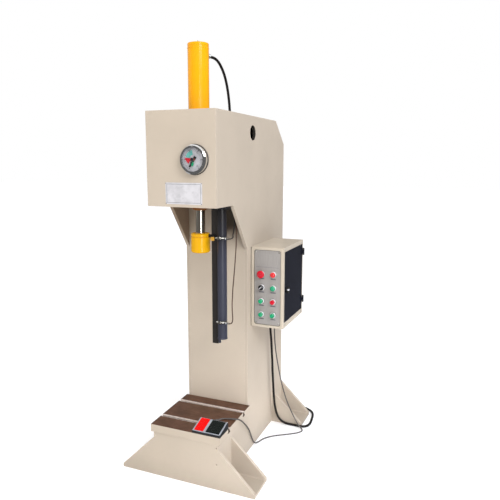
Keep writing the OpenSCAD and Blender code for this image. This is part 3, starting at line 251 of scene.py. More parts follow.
def throat_film(n):
    """Painted shade on the side plates' inner faces and on the left one's down-facing slope; near-black
    painted shade inside the lifting holes.
    """
    column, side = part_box("column_front_plate"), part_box("side_plate_right")
    inner_x, outer_x = column[1].x + 0.0005, side[1].x
    hole_r, hole_y, hole_z = 0.036, column[0].y + 0.066, side[1].z - 0.080
    across = n.size(n.axis(0))
    inside_shade = n.times(n.less(across, inner_x), 0.85)
    slope_shade = n.times(n.less(n.facing(2), -0.3), n.less(n.axis(0), 0))
    slope_shade = n.times(slope_shade, n.ramp(n.axis(2), 1.08, 1.22, 0.3, 0.8))
    far = n.distance(n.minus(n.axis(1), hole_y), n.minus(n.axis(2), hole_z))
    hole_shade = n.times(n.less(far, hole_r + 0.0008), n.less(across, outer_x - 0.0004))
    # Brown painted shade in the throat, near-black painted shade in the holes.
    film_and_shade = n.mix(hole_shade, (0.18, 0.115, 0.068), (0.010, 0.009, 0.008))
    return n.larger(n.larger(inside_shade, slope_shade), n.times(hole_shade, 0.95)), film_and_shade


def column_film(n):
    """Painted shade on the column beside the guide post, darkest under the head, and a little left of it.
    """
    post_x = sum(c.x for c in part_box("guide_post")) / 2
    head_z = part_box("head_bottom_plate")[0].z
    beside = n.ramp(n.axis(0), post_x - 0.075, post_x - 0.055)
    ragged = n.plus(n.axis(2), n.times(n.noise(22, 4), 0.04))
    under = n.times(beside, n.ramp(ragged, head_z - 0.18, head_z - 0.09, 0, 0.93))
    left = n.times(n.ramp(n.axis(0), -0.02, 0.02, 1, 0), n.ramp(ragged, head_z - 0.28, head_z, 0, 0.5))
    # Painted shade colour: near-black beside the post, brown further left.
    film_and_shade = n.mix(beside, (0.13, 0.085, 0.045), (0.022, 0.014, 0.006))
    return n.larger(under, left), film_and_shade


def post_film(n):
    """Painted shade darkens the top of the guide post under the head."""
    top_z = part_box("guide_post")[1].z
    return n.ramp(n.axis(2), top_z - 0.30, top_z - 0.02, 0, 0.9), (0.006, 0.005, 0.005)


def metal(name, colour, rough=0.3, grain=(1, 1, 1), grain_scale=300, tarnish=0.3, relief=0.25,
          metallic=1.0):
    """Turned, ground or plated metal; grain stretches the tool marks along an axis."""
    n = Nodes(name)
    marks = n.noise(grain_scale, 3, 0.6, n.stretched(grain))
    stain = n.ramp(n.noise(18, 5, 0.6), 0.45, 0.75, 0, tarnish)
    base = n.mix(n.ramp(marks, 0.35, 0.65), scaled(colour, 0.86), colour)
    base = n.mix(stain, base, scaled(colour, 0.45))
    roughness = n.plus(n.ramp(marks, 0.3, 0.7, rough * 0.8, rough * 1.15), n.times(stain, 0.25))
    return n.finish(base, roughness, n.bump(marks, 0.00025, relief), Metallic=metallic)


def moulded(name, colour, rough=0.42, grain=0.3, **fixed):
    """Moulded plastic or rubber with a fine spark-eroded grain and handling marks."""
    n = Nodes(name)
    shade = n.mix(n.ramp(n.noise(30, 3), 0.35, 0.65), scaled(colour, 0.88), scaled(colour, 1.06))
    scuff = n.ramp(n.noise(90, 5, 0.7), 0.62, 0.8, 0, 0.18)
    shade = n.mix(scuff, shade, tuple(min(1.0, c * 0.7 + 0.06) for c in colour))
    roughness = n.ramp(n.noise(50, 4), 0.3, 0.7, rough * 0.85, rough * 1.2)
    return n.finish(shade, roughness, n.bump(n.noise(900, 2), 0.0002, grain), **fixed)


def table_material():
    """Oiled brown top with grinding marks, a dark left rim and worn slot edges; enamelled sides; slot walls
    in dark painted shade with a painted highlight on their rear lip.
    """
    top, slot_y, slot_half, lip_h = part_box("table_plate")[1], 0.09, 0.0123, 0.0065
    n = Nodes("table")
    marks = n.noise(150, 4, 0.6, n.stretched((0.12, 2.2, 1)))
    stain = n.noise(13, 6, 0.62)
    oiled = n.mix(n.ramp(marks, 0.3, 0.7), (0.084, 0.036, 0.020), (0.150, 0.070, 0.040))
    oiled = n.mix(n.ramp(stain, 0.42, 0.66, 0, 0.55), oiled, (0.066, 0.036, 0.022))
    off_slot = n.size(n.minus(n.size(n.axis(1)), slot_y))
    edge = n.ramp(off_slot, slot_half - 0.004, slot_half + 0.0015, 1, 0)
    worn = n.times(edge, n.ramp(n.noise(60, 3), 0.35, 0.6, 0.55, 1.0))
    oiled = n.mix(worn, oiled, (0.85, 0.74, 0.66))
    rim = n.ramp(n.axis(0), 0.0015 - top.x, 0.006 - top.x, 0.8, 0)
    oiled = n.mix(rim, oiled, (0.030, 0.018, 0.012))
    is_top = n.more(n.axis(2), top.z - 0.0004)
    in_slot = n.times(n.less(off_slot, slot_half), n.less(n.size(n.axis(0)), top.x - 0.0005))
    # Inside the slots: a painted highlight on the rear wall's upper lip, painted shade on the other walls.
    lit_rear_lip = n.times(n.less(n.facing(1), -0.5), n.more(n.axis(2), top.z - lip_h))
    slot_light_and_shade = n.mix(lit_rear_lip, (0.12, 0.085, 0.065), (0.90, 0.78, 0.70))
    base = n.mix(is_top, n.mix(in_slot, sprayed(n, CREAM), slot_light_and_shade), oiled)
    is_metal = n.larger(is_top, in_slot)
    rough = n.minus(n.ramp(stain, 0.3, 0.7, 0.34, 0.52), n.times(is_metal, 0.04))
    n.join(n.times(is_metal, 0.3), n.shader.inputs["Metallic"])
    fine = n.bump(n.times(marks, is_metal), 0.0003, 0.3)
    return n.finish(base, rough, fine, Specular_IOR_Level=0.25)


def panel_material():
    """Fine brushed silver print, brushed upwards."""
    n = Nodes("operator_panel")
    marks = n.noise(900, 3, 0.6, n.stretched((1.0, 1.0, 0.03)))
    shade = n.mix(n.ramp(marks, 0.3, 0.7), (0.31, 0.288, 0.265), (0.37, 0.343, 0.318))
    cloud = n.ramp(n.noise(9, 4), 0.3, 0.7, 0.9, 1.06)
    shade = n.mix(n.minus(cloud, 0.9), shade, (0.40, 0.385, 0.37))
    return n.finish(shade, 0.38, n.bump(marks, 0.0002, 0.25), Metallic=0.15)


def glass_material():
    """The gauge's window, nearly clear, with a faint film of dust in its gloss."""
    n = Nodes("glass")
    film_and_shade = n.ramp(n.noise(14, 4), 0.4, 0.8, 0.02, 0.06)
    return n.finish((0.10, 0.11, 0.11), film_and_shade, Alpha=0.06, Specular_IOR_Level=0.5)


def lamp_material():
    """Ribbed lamp lenses: red in the upper lamp, green in the lower."""
    middle_z = sum(c.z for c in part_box("signal_lamps")) / 2
    n = Nodes("signal_lamps")
    glow = n.noise(160, 2)
    red = n.mix(glow, (0.50, 0.010, 0.014), (0.80, 0.06, 0.06))
    green = n.mix(glow, (0.010, 0.22, 0.10), (0.035, 0.42, 0.22))
    tint = n.mix(n.more(n.axis(2), middle_z), green, red)
    n.join(tint, n.shader.inputs["Emission Color"])
    ribs = n.bump(n.stripes(320, "X"), 0.0004, 0.5)
    return n.finish(tint, 0.12, ribs, Emission_Strength=0.04, Coat_Weight=0.6, Coat_Roughness=0.05)


def switch_material():
    """The foot switch's case: grey lid, black lower shell."""
    n = Nodes("foot_switch")
    lid = n.more(n.facing(2), 0.3)
    shade = n.mix(n.ramp(n.noise(30, 3), 0.35, 0.65), (0.26, 0.275, 0.30), (0.34, 0.36, 0.39))
    shade = n.mix(lid, (0.022, 0.022, 0.024), shade)
    return n.finish(shade, 0.45, n.bump(n.noise(900, 2), 0.0002, 0.3), Specular_IOR_Level=0.3)


def trip_arm_material():
    """Black steel arm whose disc, between ram and collar, is painted with them."""
    ram_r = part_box("ram_head")[1].x
    n = Nodes("trip_arm")
    far = n.distance(n.axis(0), n.axis(1))
    worn = n.mix(n.ramp(n.noise(60, 4), 0.4, 0.7), (0.014, 0.012, 0.011), (0.035, 0.030, 0.026))
    base = n.mix(n.less(far, ram_r + 0.001), worn, RAM_YELLOW)
    return n.finish(base, 0.42, n.bump(n.noise(420, 2), 0.0002, 0.2), Specular_IOR_Level=0.3)


def hose_material():
    """Black rubber cover with the cloth wrap's faint spiral texture."""
    n = Nodes("hose")
    dust = n.ramp(n.noise(40, 5, 0.6), 0.45, 0.75, 0, 0.35)
    base = n.mix(dust, (0.008, 0.006, 0.006), (0.022, 0.017, 0.015))
    rough = n.ramp(dust, 0, 0.35, 0.38, 0.6)
    weave = n.bump(n.stripes(420, "DIAGONAL", 0.6), 0.0003, 0.4)
    return n.finish(base, rough, weave, Specular_IOR_Level=0.12)


# ---------------------------------------------------------------- the press's own finishes

CREAM = (0.462, 0.391, 0.308)
BOX_CREAM = (0.500, 0.432, 0.340)
YELLOW = (0.80, 0.345, 0.003)
RAM_YELLOW = (0.68, 0.345, 0.002)

TOP_COAT = dict(gloss=0.22, grime=0.3, peel=0.08, shine=0.25)
PAINTS = {
    "cream": dict(colour=CREAM),
    "cream_sides": dict(colour=CREAM, stain=throat_film),
    # The column's cream is a 6% lighter copy of the frame's, as painted light, and carries painted shade
    # under the head.
    "cream_column": dict(colour=scaled(CREAM, 1.06), stain=column_film),
    "cream_box": dict(colour=BOX_CREAM),
    "yellow": dict(colour=YELLOW, **TOP_COAT),
    "ram_yellow": dict(colour=RAM_YELLOW, **TOP_COAT),
    # The gland's yellow is darkened to brown as painted shade under the head.
    "oily_yellow": dict(colour=(0.18, 0.065, 0.012), gloss=0.3, grime=1.0, peel=0.1, shine=0.2),
    "dull_yellow": dict(colour=(0.46, 0.24, 0.025), gloss=0.4, grime=1.0, peel=0.1, shine=0.2),
    "slate": dict(colour=(0.035, 0.037, 0.056), gloss=0.38, grime=0.6, stain=post_film),
    # Near-black for the post's flat bar and its welds: painted shade of the recess behind the tube.
    "dark_bar": dict(colour=(0.022, 0.019, 0.017), gloss=0.36, grime=0.8),
    "grey_paint": dict(colour=(0.20, 0.24, 0.28), gloss=0.4, grime=0.7),
    "door": dict(colour=(0.0085, 0.0095, 0.016), gloss=0.16, grime=0.15, peel=0.05, shine=0.09),
}

ALONG_Z = (1, 1, 12)
METALS = {
    "chrome": dict(colour=(0.80, 0.81, 0.83), rough=0.09, grain_scale=260, tarnish=0.05),
    "nickel": dict(colour=(0.62, 0.61, 0.58), rough=0.24, grain=(1, 1, 6), grain_scale=500, tarnish=0.15),
    "satin_silver": dict(colour=(0.90, 0.90, 0.91), rough=0.36, grain_scale=500, tarnish=0.1,
                         relief=0.1, metallic=0.3),
    # The rod's chrome is tinted brown, a painted reflection of its brown surroundings.
    "rod_chrome": dict(colour=(0.72, 0.66, 0.57), rough=0.12, grain=(1, 1, 14), tarnish=0.08, relief=0.05),
    "black_steel": dict(colour=(0.085, 0.083, 0.082), rough=0.36, grain_scale=400),
    "plain_steel": dict(colour=(0.42, 0.41, 0.40), grain=ALONG_Z, grain_scale=400, tarnish=0.25),
    "zinc": dict(colour=(0.50, 0.52, 0.52), rough=0.34, grain_scale=260, tarnish=0.25),
    "brass": dict(colour=(0.55, 0.36, 0.12), tarnish=0.25),
}

DULL = dict(Specular_IOR_Level=0.2)
INK = dict(rough=0.5, grain=0.02)
WIRE = dict(rough=0.4, grain=0.05)
PLASTICS = {
    "white": dict(colour=(0.52, 0.505, 0.515), rough=0.3, grain=0.06),
    "dial_white": dict(colour=(0.50, 0.49, 0.51), rough=0.55, grain=0.02),
    "ink": dict(colour=(0.012, 0.012, 0.012), **INK),
    "teal_ink": dict(colour=(0.12, 0.46, 0.40), **INK),
    "grey_ink": dict(colour=(0.22, 0.22, 0.23), **INK),
    "black_plastic": dict(colour=(0.017, 0.017, 0.018), rough=0.38, grain=0.35),
    "pedal_black": dict(colour=(0.006, 0.009, 0.008), rough=0.36, Specular_IOR_Level=0.12),
    "red_plastic": dict(colour=(0.58, 0.005, 0.022), rough=0.3, grain=0.1, Specular_IOR_Level=0.3),
    "pedal_red": dict(colour=(0.76, 0.004, 0.003), rough=0.34, grain=0.2, Specular_IOR_Level=0.08),
    "green_plastic": dict(colour=(0.012, 0.33, 0.14), rough=0.25, grain=0.1, Coat_Weight=0.4,
                          Coat_Roughness=0.1),
    "grey_plastic": dict(colour=(0.33, 0.35, 0.38), rough=0.45),
    "pale_plastic": dict(colour=(0.60, 0.62, 0.64), rough=0.4, grain=0.2),
    "rubber": dict(colour=(0.018, 0.018, 0.018), rough=0.62, grain=0.5),
    "seal": dict(colour=(0.085, 0.075, 0.055), rough=0.6, grain=0.4),
    "pale_red": dict(colour=(0.62, 0.06, 0.07), rough=0.4, grain=0.05),
    "tab_grey": dict(colour=(0.10, 0.095, 0.105), rough=0.45, grain=0.02, **DULL),
    "wire_red": dict(colour=(0.50, 0.02, 0.015), **WIRE),
    "wire_blue": dict(colour=(0.02, 0.07, 0.38), **WIRE),
    "wire_yellow": dict(colour=(0.55, 0.45, 0.03), **WIRE),
    "wire_black": dict(colour=(0.02, 0.02, 0.02), **WIRE),
    "brown_sheath": dict(colour=(0.055, 0.024, 0.014), rough=0.45, grain=0.1, **DULL),
    "dark_sheath": dict(colour=(0.011, 0.011, 0.012), rough=0.45, grain=0.1, **DULL),
    "grey_sheath": dict(colour=(0.085, 0.075, 0.070), grain=0.1),
    "mains_sheath": dict(colour=(0.012, 0.010, 0.009), rough=0.5, grain=0.15, **DULL),
}

MATERIALS = {
    "table": table_material(),
    "panel": panel_material(),
    "glass": glass_material(),
    "lamp": lamp_material(),
    "foot_switch": switch_material(),
    "trip_arm": trip_arm_material(),
    "hose": hose_material(),
}
for maker, rows in ((paint, PAINTS), (metal, METALS), (moulded, PLASTICS)):
    for name, settings in rows.items():
        MATERIALS[name] = maker(name, **settings)

NODE_FINISH = {
    "cream": [
        "head_front_plate", "head_top_plate", "head_bottom_plate", "rear_plate", "rear_cover",
        "base_front_plate", "front_feet", "rear_feet",
    ],
    "cream_box": ["control_box"],
    "cream_column": ["column_front_plate"],
    "cream_sides": ["side_plate_left", "side_plate_right"],
    "yellow": ["cylinder_barrel"],
    "ram_yellow": ["ram_head", "clamp_collar"],
    "oily_yellow": ["cylinder_gland"],
    "table": ["table_plate"],
    "white": ["blank_plate"],
    "trip_arm": ["trip_arm"],
    "black_steel": ["hex_bolts", "door_lock", "hinge_pins"],
    "rod_chrome": ["piston_rod"],
    "plain_steel": ["piston"],
    "rubber": ["grommets"],
    "slate": ["guide_post"],
    "nickel": ["sensor_upper", "sensor_lower", "sensor_bands"],
    "chrome": ["gauge_case"],
    "satin_silver": ["control_collars"],
    "dial_white": ["gauge_dial"],
    "glass": ["gauge_glass"],
    "ink": ["gauge_pointer"],
    "green_plastic": ["low_set_pointer", "pump_start_button", "ram_down_button", "ram_up_button"],
    "red_plastic": ["high_set_pointer", "e_stop_button", "pump_stop_button"],
    "panel": ["operator_panel"],
    "door": ["control_door"],
    "lamp": ["signal_lamps"],
    "black_plastic": ["selector_knob", "cable_glands"],
    "grey_plastic": ["switch_gear"],
    "foot_switch": ["foot_switch_base"],
    "pedal_red": ["red_pedal"],
    "pedal_black": ["black_pedal"],
    "grey_paint": ["oil_tank", "power_unit"],
}


def dress_nodes():
    """Gives each CAD node its finish."""
    for finish, names in NODE_FINISH.items():
        for name in names:
            slots = NODES[name].data.materials
            slots.clear()
            slots.append(MATERIALS[finish])


dress_nodes()


# ---------------------------------------------------------------- mesh helpers

RIGHT, LEFT = (1, 0, 0), (-1, 0, 0)
BACK, FRONT = (0, 1, 0), (0, -1, 0)
UP, DOWN = (0, 0, 1), (0, 0, -1)


def turns(count, shift=0.0):
    """The angles of an even division of the full circle."""
    return [2 * math.pi * (k + shift) / count for k in range(count)]


def cross_axes(axis):
    """Two directions square to an axis and to each other."""
    axis = Vector(axis).normalized()
    u = axis.orthogonal().normalized()
    return u, axis.cross(u)


def around(middle, u, v, radius, angle):
    """A point of a circle about middle, in the plane of u and v."""
    return Vector(middle) + radius * (u * math.cos(angle) + v * math.sin(angle))


def polar(radius, degrees, middle=(0, 0)):
    """A point of a plane, by its distance and direction from a middle."""
    a = math.radians(degrees)
    return middle[0] + radius * math.cos(a), middle[1] + radius * math.sin(a)


def arc(middle, radius, start, end, steps):
    """Points of an arc in a plane, by angles in degrees."""
    return [polar(radius, start + (end - start) * i / steps, middle) for i in range(steps + 1)]


def rectangle(x0, x1, y0, y1, inset=0.0):
    """A rectangle's corners, anticlockwise."""
    x0, x1, y0, y1 = x0 + inset, x1 - inset, y0 + inset, y1 - inset
    return [(x0, y0), (x1, y0), (x1, y1), (x0, y1)]


def chamfered(x0, x1, y0, y1, c):
    """A rectangle with its corners cut off, anticlockwise."""
    return [(x0 + c, y0), (x1 - c, y0), (x1, y0 + c), (x1, y1 - c),
            (x1 - c, y1), (x0 + c, y1), (x0, y1 - c), (x0, y0 + c)]


def rounded(x0, x1, y0, y1, r, steps=5):
    """A rectangle with round corners, anticlockwise."""
    middles = rectangle(x0, x1, y0, y1, r)
    points = []
    for quarter, middle in enumerate((middles[2], middles[3], middles[0], middles[1])):
        points += arc(middle, r, 90 * quarter, 90 * quarter + 90, steps)
    return points


def laid(outline, along, level):
    """An outline of two coordinates, laid square to axis 0, 1 or 2 (x, y or z) at a level."""
    return [(*p[:along], level, *p[along:]) for p in outline]


def corners(node):
    """A CAD node's lowest and highest corners, in millimetres."""
    low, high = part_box(node)
    return low / MM, high / MM


def centre(node):
    """The middle of a CAD node's box, in millimetres."""
    low, high = corners(node)
    return (low + high) / 2


class Shape:
    """Collects parts of one mesh, in millimetres in the press's frame."""

    def __init__(self):
        self.points, self.faces, self.smooth = [], [], []

    def add(self, points, faces, smooth=False):
        start = len(self.points)
        self.points += [Vector(p) for p in points]
        self.faces += [[start + i for i in face] for face in faces]
        self.smooth += [smooth] * len(faces)
        return self

    def loft(self, rings, closed=True, smooth=True):
        """Skins a list of rings of points, with end caps if closed."""
        count = len(rings[0])
        faces = [
            [a * count + k, a * count + (k + 1) % count,
             (a + 1) * count + (k + 1) % count, (a + 1) * count + k]
            for a in range(len(rings) - 1)
            for k in range(count)
        ]
        self.add([p for ring in rings for p in ring], faces, smooth)
        if closed:
            self.add(rings[0], [list(range(count))[::-1]])
            self.add(rings[-1], [list(range(count))])
        return self

    def prism(self, outline, along, start, end):
        """An outline pushed along an axis."""
        return self.loft([laid(outline, along, level) for level in (start, end)], smooth=False)

    def rim(self, outer, inner, along, back, front):
        """A flat frame between two outlines with the same number of points."""
        loops = [(outer, back), (outer, front), (inner, front), (inner, back), (outer, back)]
        return self.loft([laid(line, along, level) for line, level in loops],
                         closed=False, smooth=False)

    def block(self, low, high, chamfer=0.0):
        """A block with chamfered edges."""
        (x0, y0, z0), (x1, y1, z1) = low, high
        c = chamfer
        if c == 0:
            return self.prism(rectangle(x0, x1, y0, y1), 2, z0, z1)
        levels = [(z0, c), (z0 + c, 0), (z1 - c, 0), (z1, c)]
        return self.loft([laid(chamfered(x0 + i, x1 - i, y0 + i, y1 - i, c), 2, z)
                          for z, i in levels], smooth=False)

    def turned(self, profile, origin, axis, sides=32, closed=True):
        """A profile of (distance along the axis, radius) turned about the axis."""
        axis = Vector(axis).normalized()
        u, v = cross_axes(axis)
        return self.loft([[around(Vector(origin) + axis * t, u, v, r, a) for a in turns(sides)]
                          for t, r in profile], closed)

    def tube(self, path, radius, sides=8, closed=True):
        """A tube along a path; radius is a number or a function of the point's index."""
        path = [Vector(p) for p in path]
        loops, u = [], None
        for i, p in enumerate(path):
            t = (path[min(i + 1, len(path) - 1)] - path[max(i - 1, 0)]).normalized()
            u = (u - t * u.dot(t)).normalized() if u else t.orthogonal().normalized()
            r = radius(i) if callable(radius) else radius
            loops.append([around(p, u, t.cross(u), r, a) for a in turns(sides)])
        return self.loft(loops, closed)

    def screw(self, spot, axis, radius, height, slot="hex"):
        """A screw's head that stands on spot along axis, with a hex, line or cross slot."""
        spot, axis = Vector(spot), Vector(axis).normalized()
        r, h = radius, height
        if slot == "hex":
            head = [(0, r), (h - 0.12 * r, r), (h, r * 0.88), (h, r * 0.52)]
            socket = [(h, r * 0.52), (h * 0.45, r * 0.50), (h * 0.42, 0.01)]
            self.turned(head, spot, axis, 20, closed=False)
            return self.turned(socket, spot, axis, 6, closed=False)
        dome = [(0, r), (h * 0.35, r * 0.96), (h * 0.8, r * 0.7), (h, r * 0.25), (h, 0.01)]
        self.turned(dome, spot, axis, 20)
        ways = cross_axes(axis)
        for way in ways if slot == "cross" else ways[:1]:
            middle, reach = spot + axis * (h * 0.86), way * (r * 0.62)
            self.tube([middle - reach, middle + reach], r * 0.13, 4)
        return self

    def piece(self, name, finish, body="frame", bevel=0.0):
        """Makes the mesh in its material, to ride with a body of the press."""
        mesh = bpy.data.meshes.new(name)
        mesh.from_pydata([p * MM for p in self.points], [], self.faces)
        mesh.polygons.foreach_set("use_smooth", self.smooth)
        mesh.set_sharp_from_angle(angle=math.radians(38))
        mesh.materials.append(MATERIALS[finish])
        made = bpy.data.objects.new(name, mesh)
        bpy.context.scene.collection.objects.link(made)
        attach(made, body)
        if bevel:
            edge = made.modifiers.new("bevel", "BEVEL")
            edge.width, edge.segments, edge.angle_limit = bevel * MM, 2, math.radians(35)
        return made


# ---------------------------------------------------------------- cords

HOSE_ROUTE = [
    (0, 115, 1985), (0, 138, 1985), (0, 168, 1985), (0, 195, 1980), (0, 220, 1970),
    (0, 245, 1954), (0, 267, 1935), (0, 287, 1911), (0, 303, 1884), (0, 316, 1855),
    (0, 326, 1824), (0, 334, 1792), (0, 339, 1760), (0, 343, 1725), (0, 345, 1690),
    *[(0, 345, z) for z in range(1650, 549, -50)], (0, 345, 468),
]
UPPER_LEAD_ROUTE = [
    (160.5, -31.4, 1155.5), (165, -31.4, 1155.5), (171, -27, 1157), (173, -17, 1159),
    (170, -6, 1161), (164, 6, 1164), (158, 20, 1168), (153, 34, 1173), (149, 47, 1181),
    (147, 58, 1193), (145, 66, 1210), (143, 72, 1230), (140, 77, 1252), (138, 79, 1270),
    (137, 79, 1288), (137, 79, 1302),
]
LOWER_LEAD_ROUTE = [
    (160.5, -31.4, 755.5), (165, -31.4, 755.5), (171, -27, 759), (172, -20, 769),
    (169, -12, 783), (164, -4, 800), (159, 5, 820), (155, 14, 844), (153, 23, 873),
    (151, 32, 907), (151, 41, 945), (151, 49, 983), (151, 57, 1022), (151, 64, 1062),
    (151, 71, 1102), (150, 76, 1141), (149, 81, 1180), (145, 85, 1220), (140, 88, 1258),
    (137, 89, 1288), (137, 89, 1302),
]
PEDAL_ROUTE = [
    (100, -67, 275), (100, -58, 275), (103, -45, 270), (121, -18, 266.7), (148, -8, 266.8),
    (176, -4, 268.6), (190, 2, 267), (197, 18, 255), (193, 62, 222), (190, 83.8, 205),
    (187, 120.9, 172), (184, 160.1, 130), (181, 199.3, 73), (180, 225.5, 37), (182, 249.5, 14),
    (187, 280, 4), (198, 314, 3.6), (216, 345, 3.6), (242, 372, 3.6), (276, 398, 3.6),
    (312, 422, 3.6), (343, 446, 3.6), (364, 468, 3.6), (372, 488, 3.6), (365, 506, 5),
    (350, 513, 13), (333, 515, 33), (314, 515, 66), (293, 515, 106), (272, 515, 152),
    (254, 515, 203), (238, 515, 258), (226, 514, 312), (216, 511, 368), (208, 506, 425),
    (203, 500, 480), (201, 494, 535), (200, 490, 618), (200, 490, 645),
]
MAINS_ROUTE = [
    (200, 425, 645), (200, 425, 618), (200, 430, 575), (200, 441, 535), (200, 447, 495),
    (200, 453, 450), (201, 458, 405), (201, 462, 360), (202, 466, 315), (203, 470, 270),
    (204, 475, 225), (205, 480, 185), (206, 487, 145), (209, 497, 105), (215, 507, 68),
    (228, 517, 36), (249, 525, 15), (276, 529, 7), (305, 529.5, 6.6), (335, 529.5, 6.6),
    (361, 531, 6.6), (381, 545, 6.6), (391, 573, 6.6), (391, 607, 6.6), (387, 640, 6.6),
    (382, 675, 6.6), (373, 708, 6.6), (354, 736, 6.6), (327, 755, 6.6), (296, 768, 6.6),
    (263, 778, 6.6), (230, 786, 6.6), (196, 793, 6.6), (162, 799, 6.6), (128, 804, 6.6),
    (94, 807, 6.6), (60, 809, 6.6), (30, 810, 6.6),
]
MAINS_TAIL = [(0, 818, 20), (-25, 813, 23), (-50, 810, 28), (-70, 810, 28)]
MAINS_D = 13
COIL_X, COIL_Y, COIL_R = 30, 904.8, 75
MAINS_GLAND, PEDAL_GLAND = MAINS_ROUTE[0], PEDAL_ROUTE[-1]


def step(value, low, high):
    """0 below low, 1 above high and even between."""
    return min(1.0, max(0.0, (value - low) / (high - low)))


def coil_turns():
    """Three turns: two side by side on the floor, the last one on the outer of them."""
    made = []
    for turned in range(15, 1081, 15):
        inward = step(turned, 0, 70) + step(turned, 360, 430) - step(turned, 720, 790)
        height = 6.6 + MAINS_D * step(turned, 645, 720)
        spot = polar(COIL_R + MAINS_D * (1.5 - inward), -90 - turned, (COIL_X, COIL_Y))
        made.append((*spot, height))
    return made


def cord(name, points, diameter, finish, nodes):
    """A smooth curve through the route's points."""
    data = bpy.data.curves.new(name, "CURVE")
    data.dimensions = "3D"
    data.resolution_u = 5
    data.bevel_depth = diameter / 2 * MM
    data.bevel_resolution = 4
    data.use_fill_caps = True
    spline = data.splines.new("BEZIER")
    spline.bezier_points.add(len(points) - 1)
    for knot, p in zip(spline.bezier_points, points):
        knot.co = Vector(p) * MM
        knot.handle_left_type = knot.handle_right_type = "AUTO"
    data.materials.append(MATERIALS[finish])
    made = bpy.data.objects.new(name, data)
    bpy.context.scene.collection.objects.link(made)
    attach(made, "frame")
    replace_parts(made, *nodes)


def make_cords(plug_parts, ties):
    cord("oil_hose", HOSE_ROUTE, 13, "hose", ["hydraulic_hose"])
    cord("upper_sensor_cable", UPPER_LEAD_ROUTE, 5, "dark_sheath",
         ["sensor_lead_upper"])
    cord("lower_sensor_cable", LOWER_LEAD_ROUTE, 5, "brown_sheath",
         ["sensor_lead_lower"])
    cord("foot_switch_cable", PEDAL_ROUTE, 7, "grey_sheath",
         ["pedal_lead"])
    cord("mains_cable", MAINS_ROUTE + coil_turns() + MAINS_TAIL, MAINS_D, "mains_sheath",
         ["mains_lead", "mains_coil"])


# ---------------------------------------------------------------- edges and welds of the frame

def soften(names, width, segments=2):
    """Rounds the edges of imported solids, as grinding and thick paint leave them."""
    for name in names:
        stack = NODES[name].modifiers
        stack.new("join", "WELD").merge_threshold = 0.00001
        flat = stack.new("flat", "DECIMATE")
        flat.decimate_type = "DISSOLVE"
        flat.angle_limit = math.radians(0.5)
        edge = stack.new("edge", "BEVEL")
        edge.width, edge.segments = width * MM, segments
        edge.limit_method, edge.angle_limit = "ANGLE", math.radians(40)
        edge.harden_normals = True


def beads(name, runs, radius=4.0, finish="cream"):
    """Weld beads along straight runs, rippled, thinner where each starts and stops."""
    shape = Shape()
    for start, end in runs:
        start, end = Vector(start), Vector(end)
        steps = max(4, round((end - start).length / 4))
        path = [start.lerp(end, i / steps) for i in range(steps + 1)]

        def thickness(i, steps=steps):
            return radius * (0.6 if i in (0, steps) else 1 + 0.12 * (i % 2))

        shape.tube(path, thickness, 6)
    shape.piece(name, finish)


def rings(name, spots, finish):
    """Round weld beads: a list of (middle, axis, ring radius, bead radius)."""
    shape = Shape()
    for middle, axis, ring_r, bead_r in spots:
        u, v = cross_axes(axis)
        path = [around(middle, u, v, ring_r, a) for a in turns(max(24, round(2 * math.pi * ring_r / 4)))]
        shape.tube([*path, path[0]], lambda i: bead_r * (1 + 0.12 * (i % 2)), 6)
    shape.piece(name, finish)


def make_foot_welds():
    """Beads up the gussets, along the soles and beside the feet's end faces."""
    side_x = corners("side_plate_right")[1].x
    sole, front_depth, gusset, tip_gap, top_gap, floor_gap = 12, 157, 16, 3, 4, 2
    (front_low, front_high), (rear_low, rear_high) = corners("front_feet"), corners("rear_feet")
    base_y = corners("base_front_plate")[1].y
    front_y = corners("base_front_plate")[0].y + front_depth
    rear_gussets = (rear_low.y + gusset, rear_high.y - gusset)
    low, high = front_low.z + sole, front_high.z - top_gap
    runs = []
    for side in (-1, 1):
        x, tip = side * side_x, side * (front_high.x - tip_gap)
        for y in (base_y, front_y - gusset, *rear_gussets):
            runs.append(((x, y, low), (x, y, high)))
            runs.append(((x, y, sole), (tip, y, sole)))
        for y in (front_y, rear_low.y):
            runs.append(((x, y, floor_gap), (x, y, high)))
        for start, end in ((base_y, front_y - gusset), rear_gussets):
            runs.append(((x, start, sole), (x, end, sole)))
    beads("foot_welds", runs)


def make_throat_welds():
    """Beads under the head and the table, and up both edges of the column."""
    side_low, side_high = corners("side_plate_right")
    inner_x, column_y = corners("column_front_plate")[1].x, corners("column_front_plate")[0].y
    head_z = corners("head_bottom_plate")[0].z
    table_low, table_high = corners("table_plate")
    knee_y, knee_z, front_y = column_y - 172, head_z - 229, side_low.y - 16
    runs = [((-inner_x, column_y, head_z), (inner_x, column_y, head_z)),
            ((-side_high.x, front_y, table_low.z), (side_high.x, front_y, table_low.z))]
    edges = (-inner_x, inner_x)
    runs += [((x, knee_y, head_z), (x, column_y, head_z)) for x in edges]
    beads("throat_welds", runs, 3.2)
    seam_y = column_y + 1.4
    beads("column_seams", [((x, seam_y, table_high.z), (x, seam_y, knee_z)) for x in edges], 2.2)


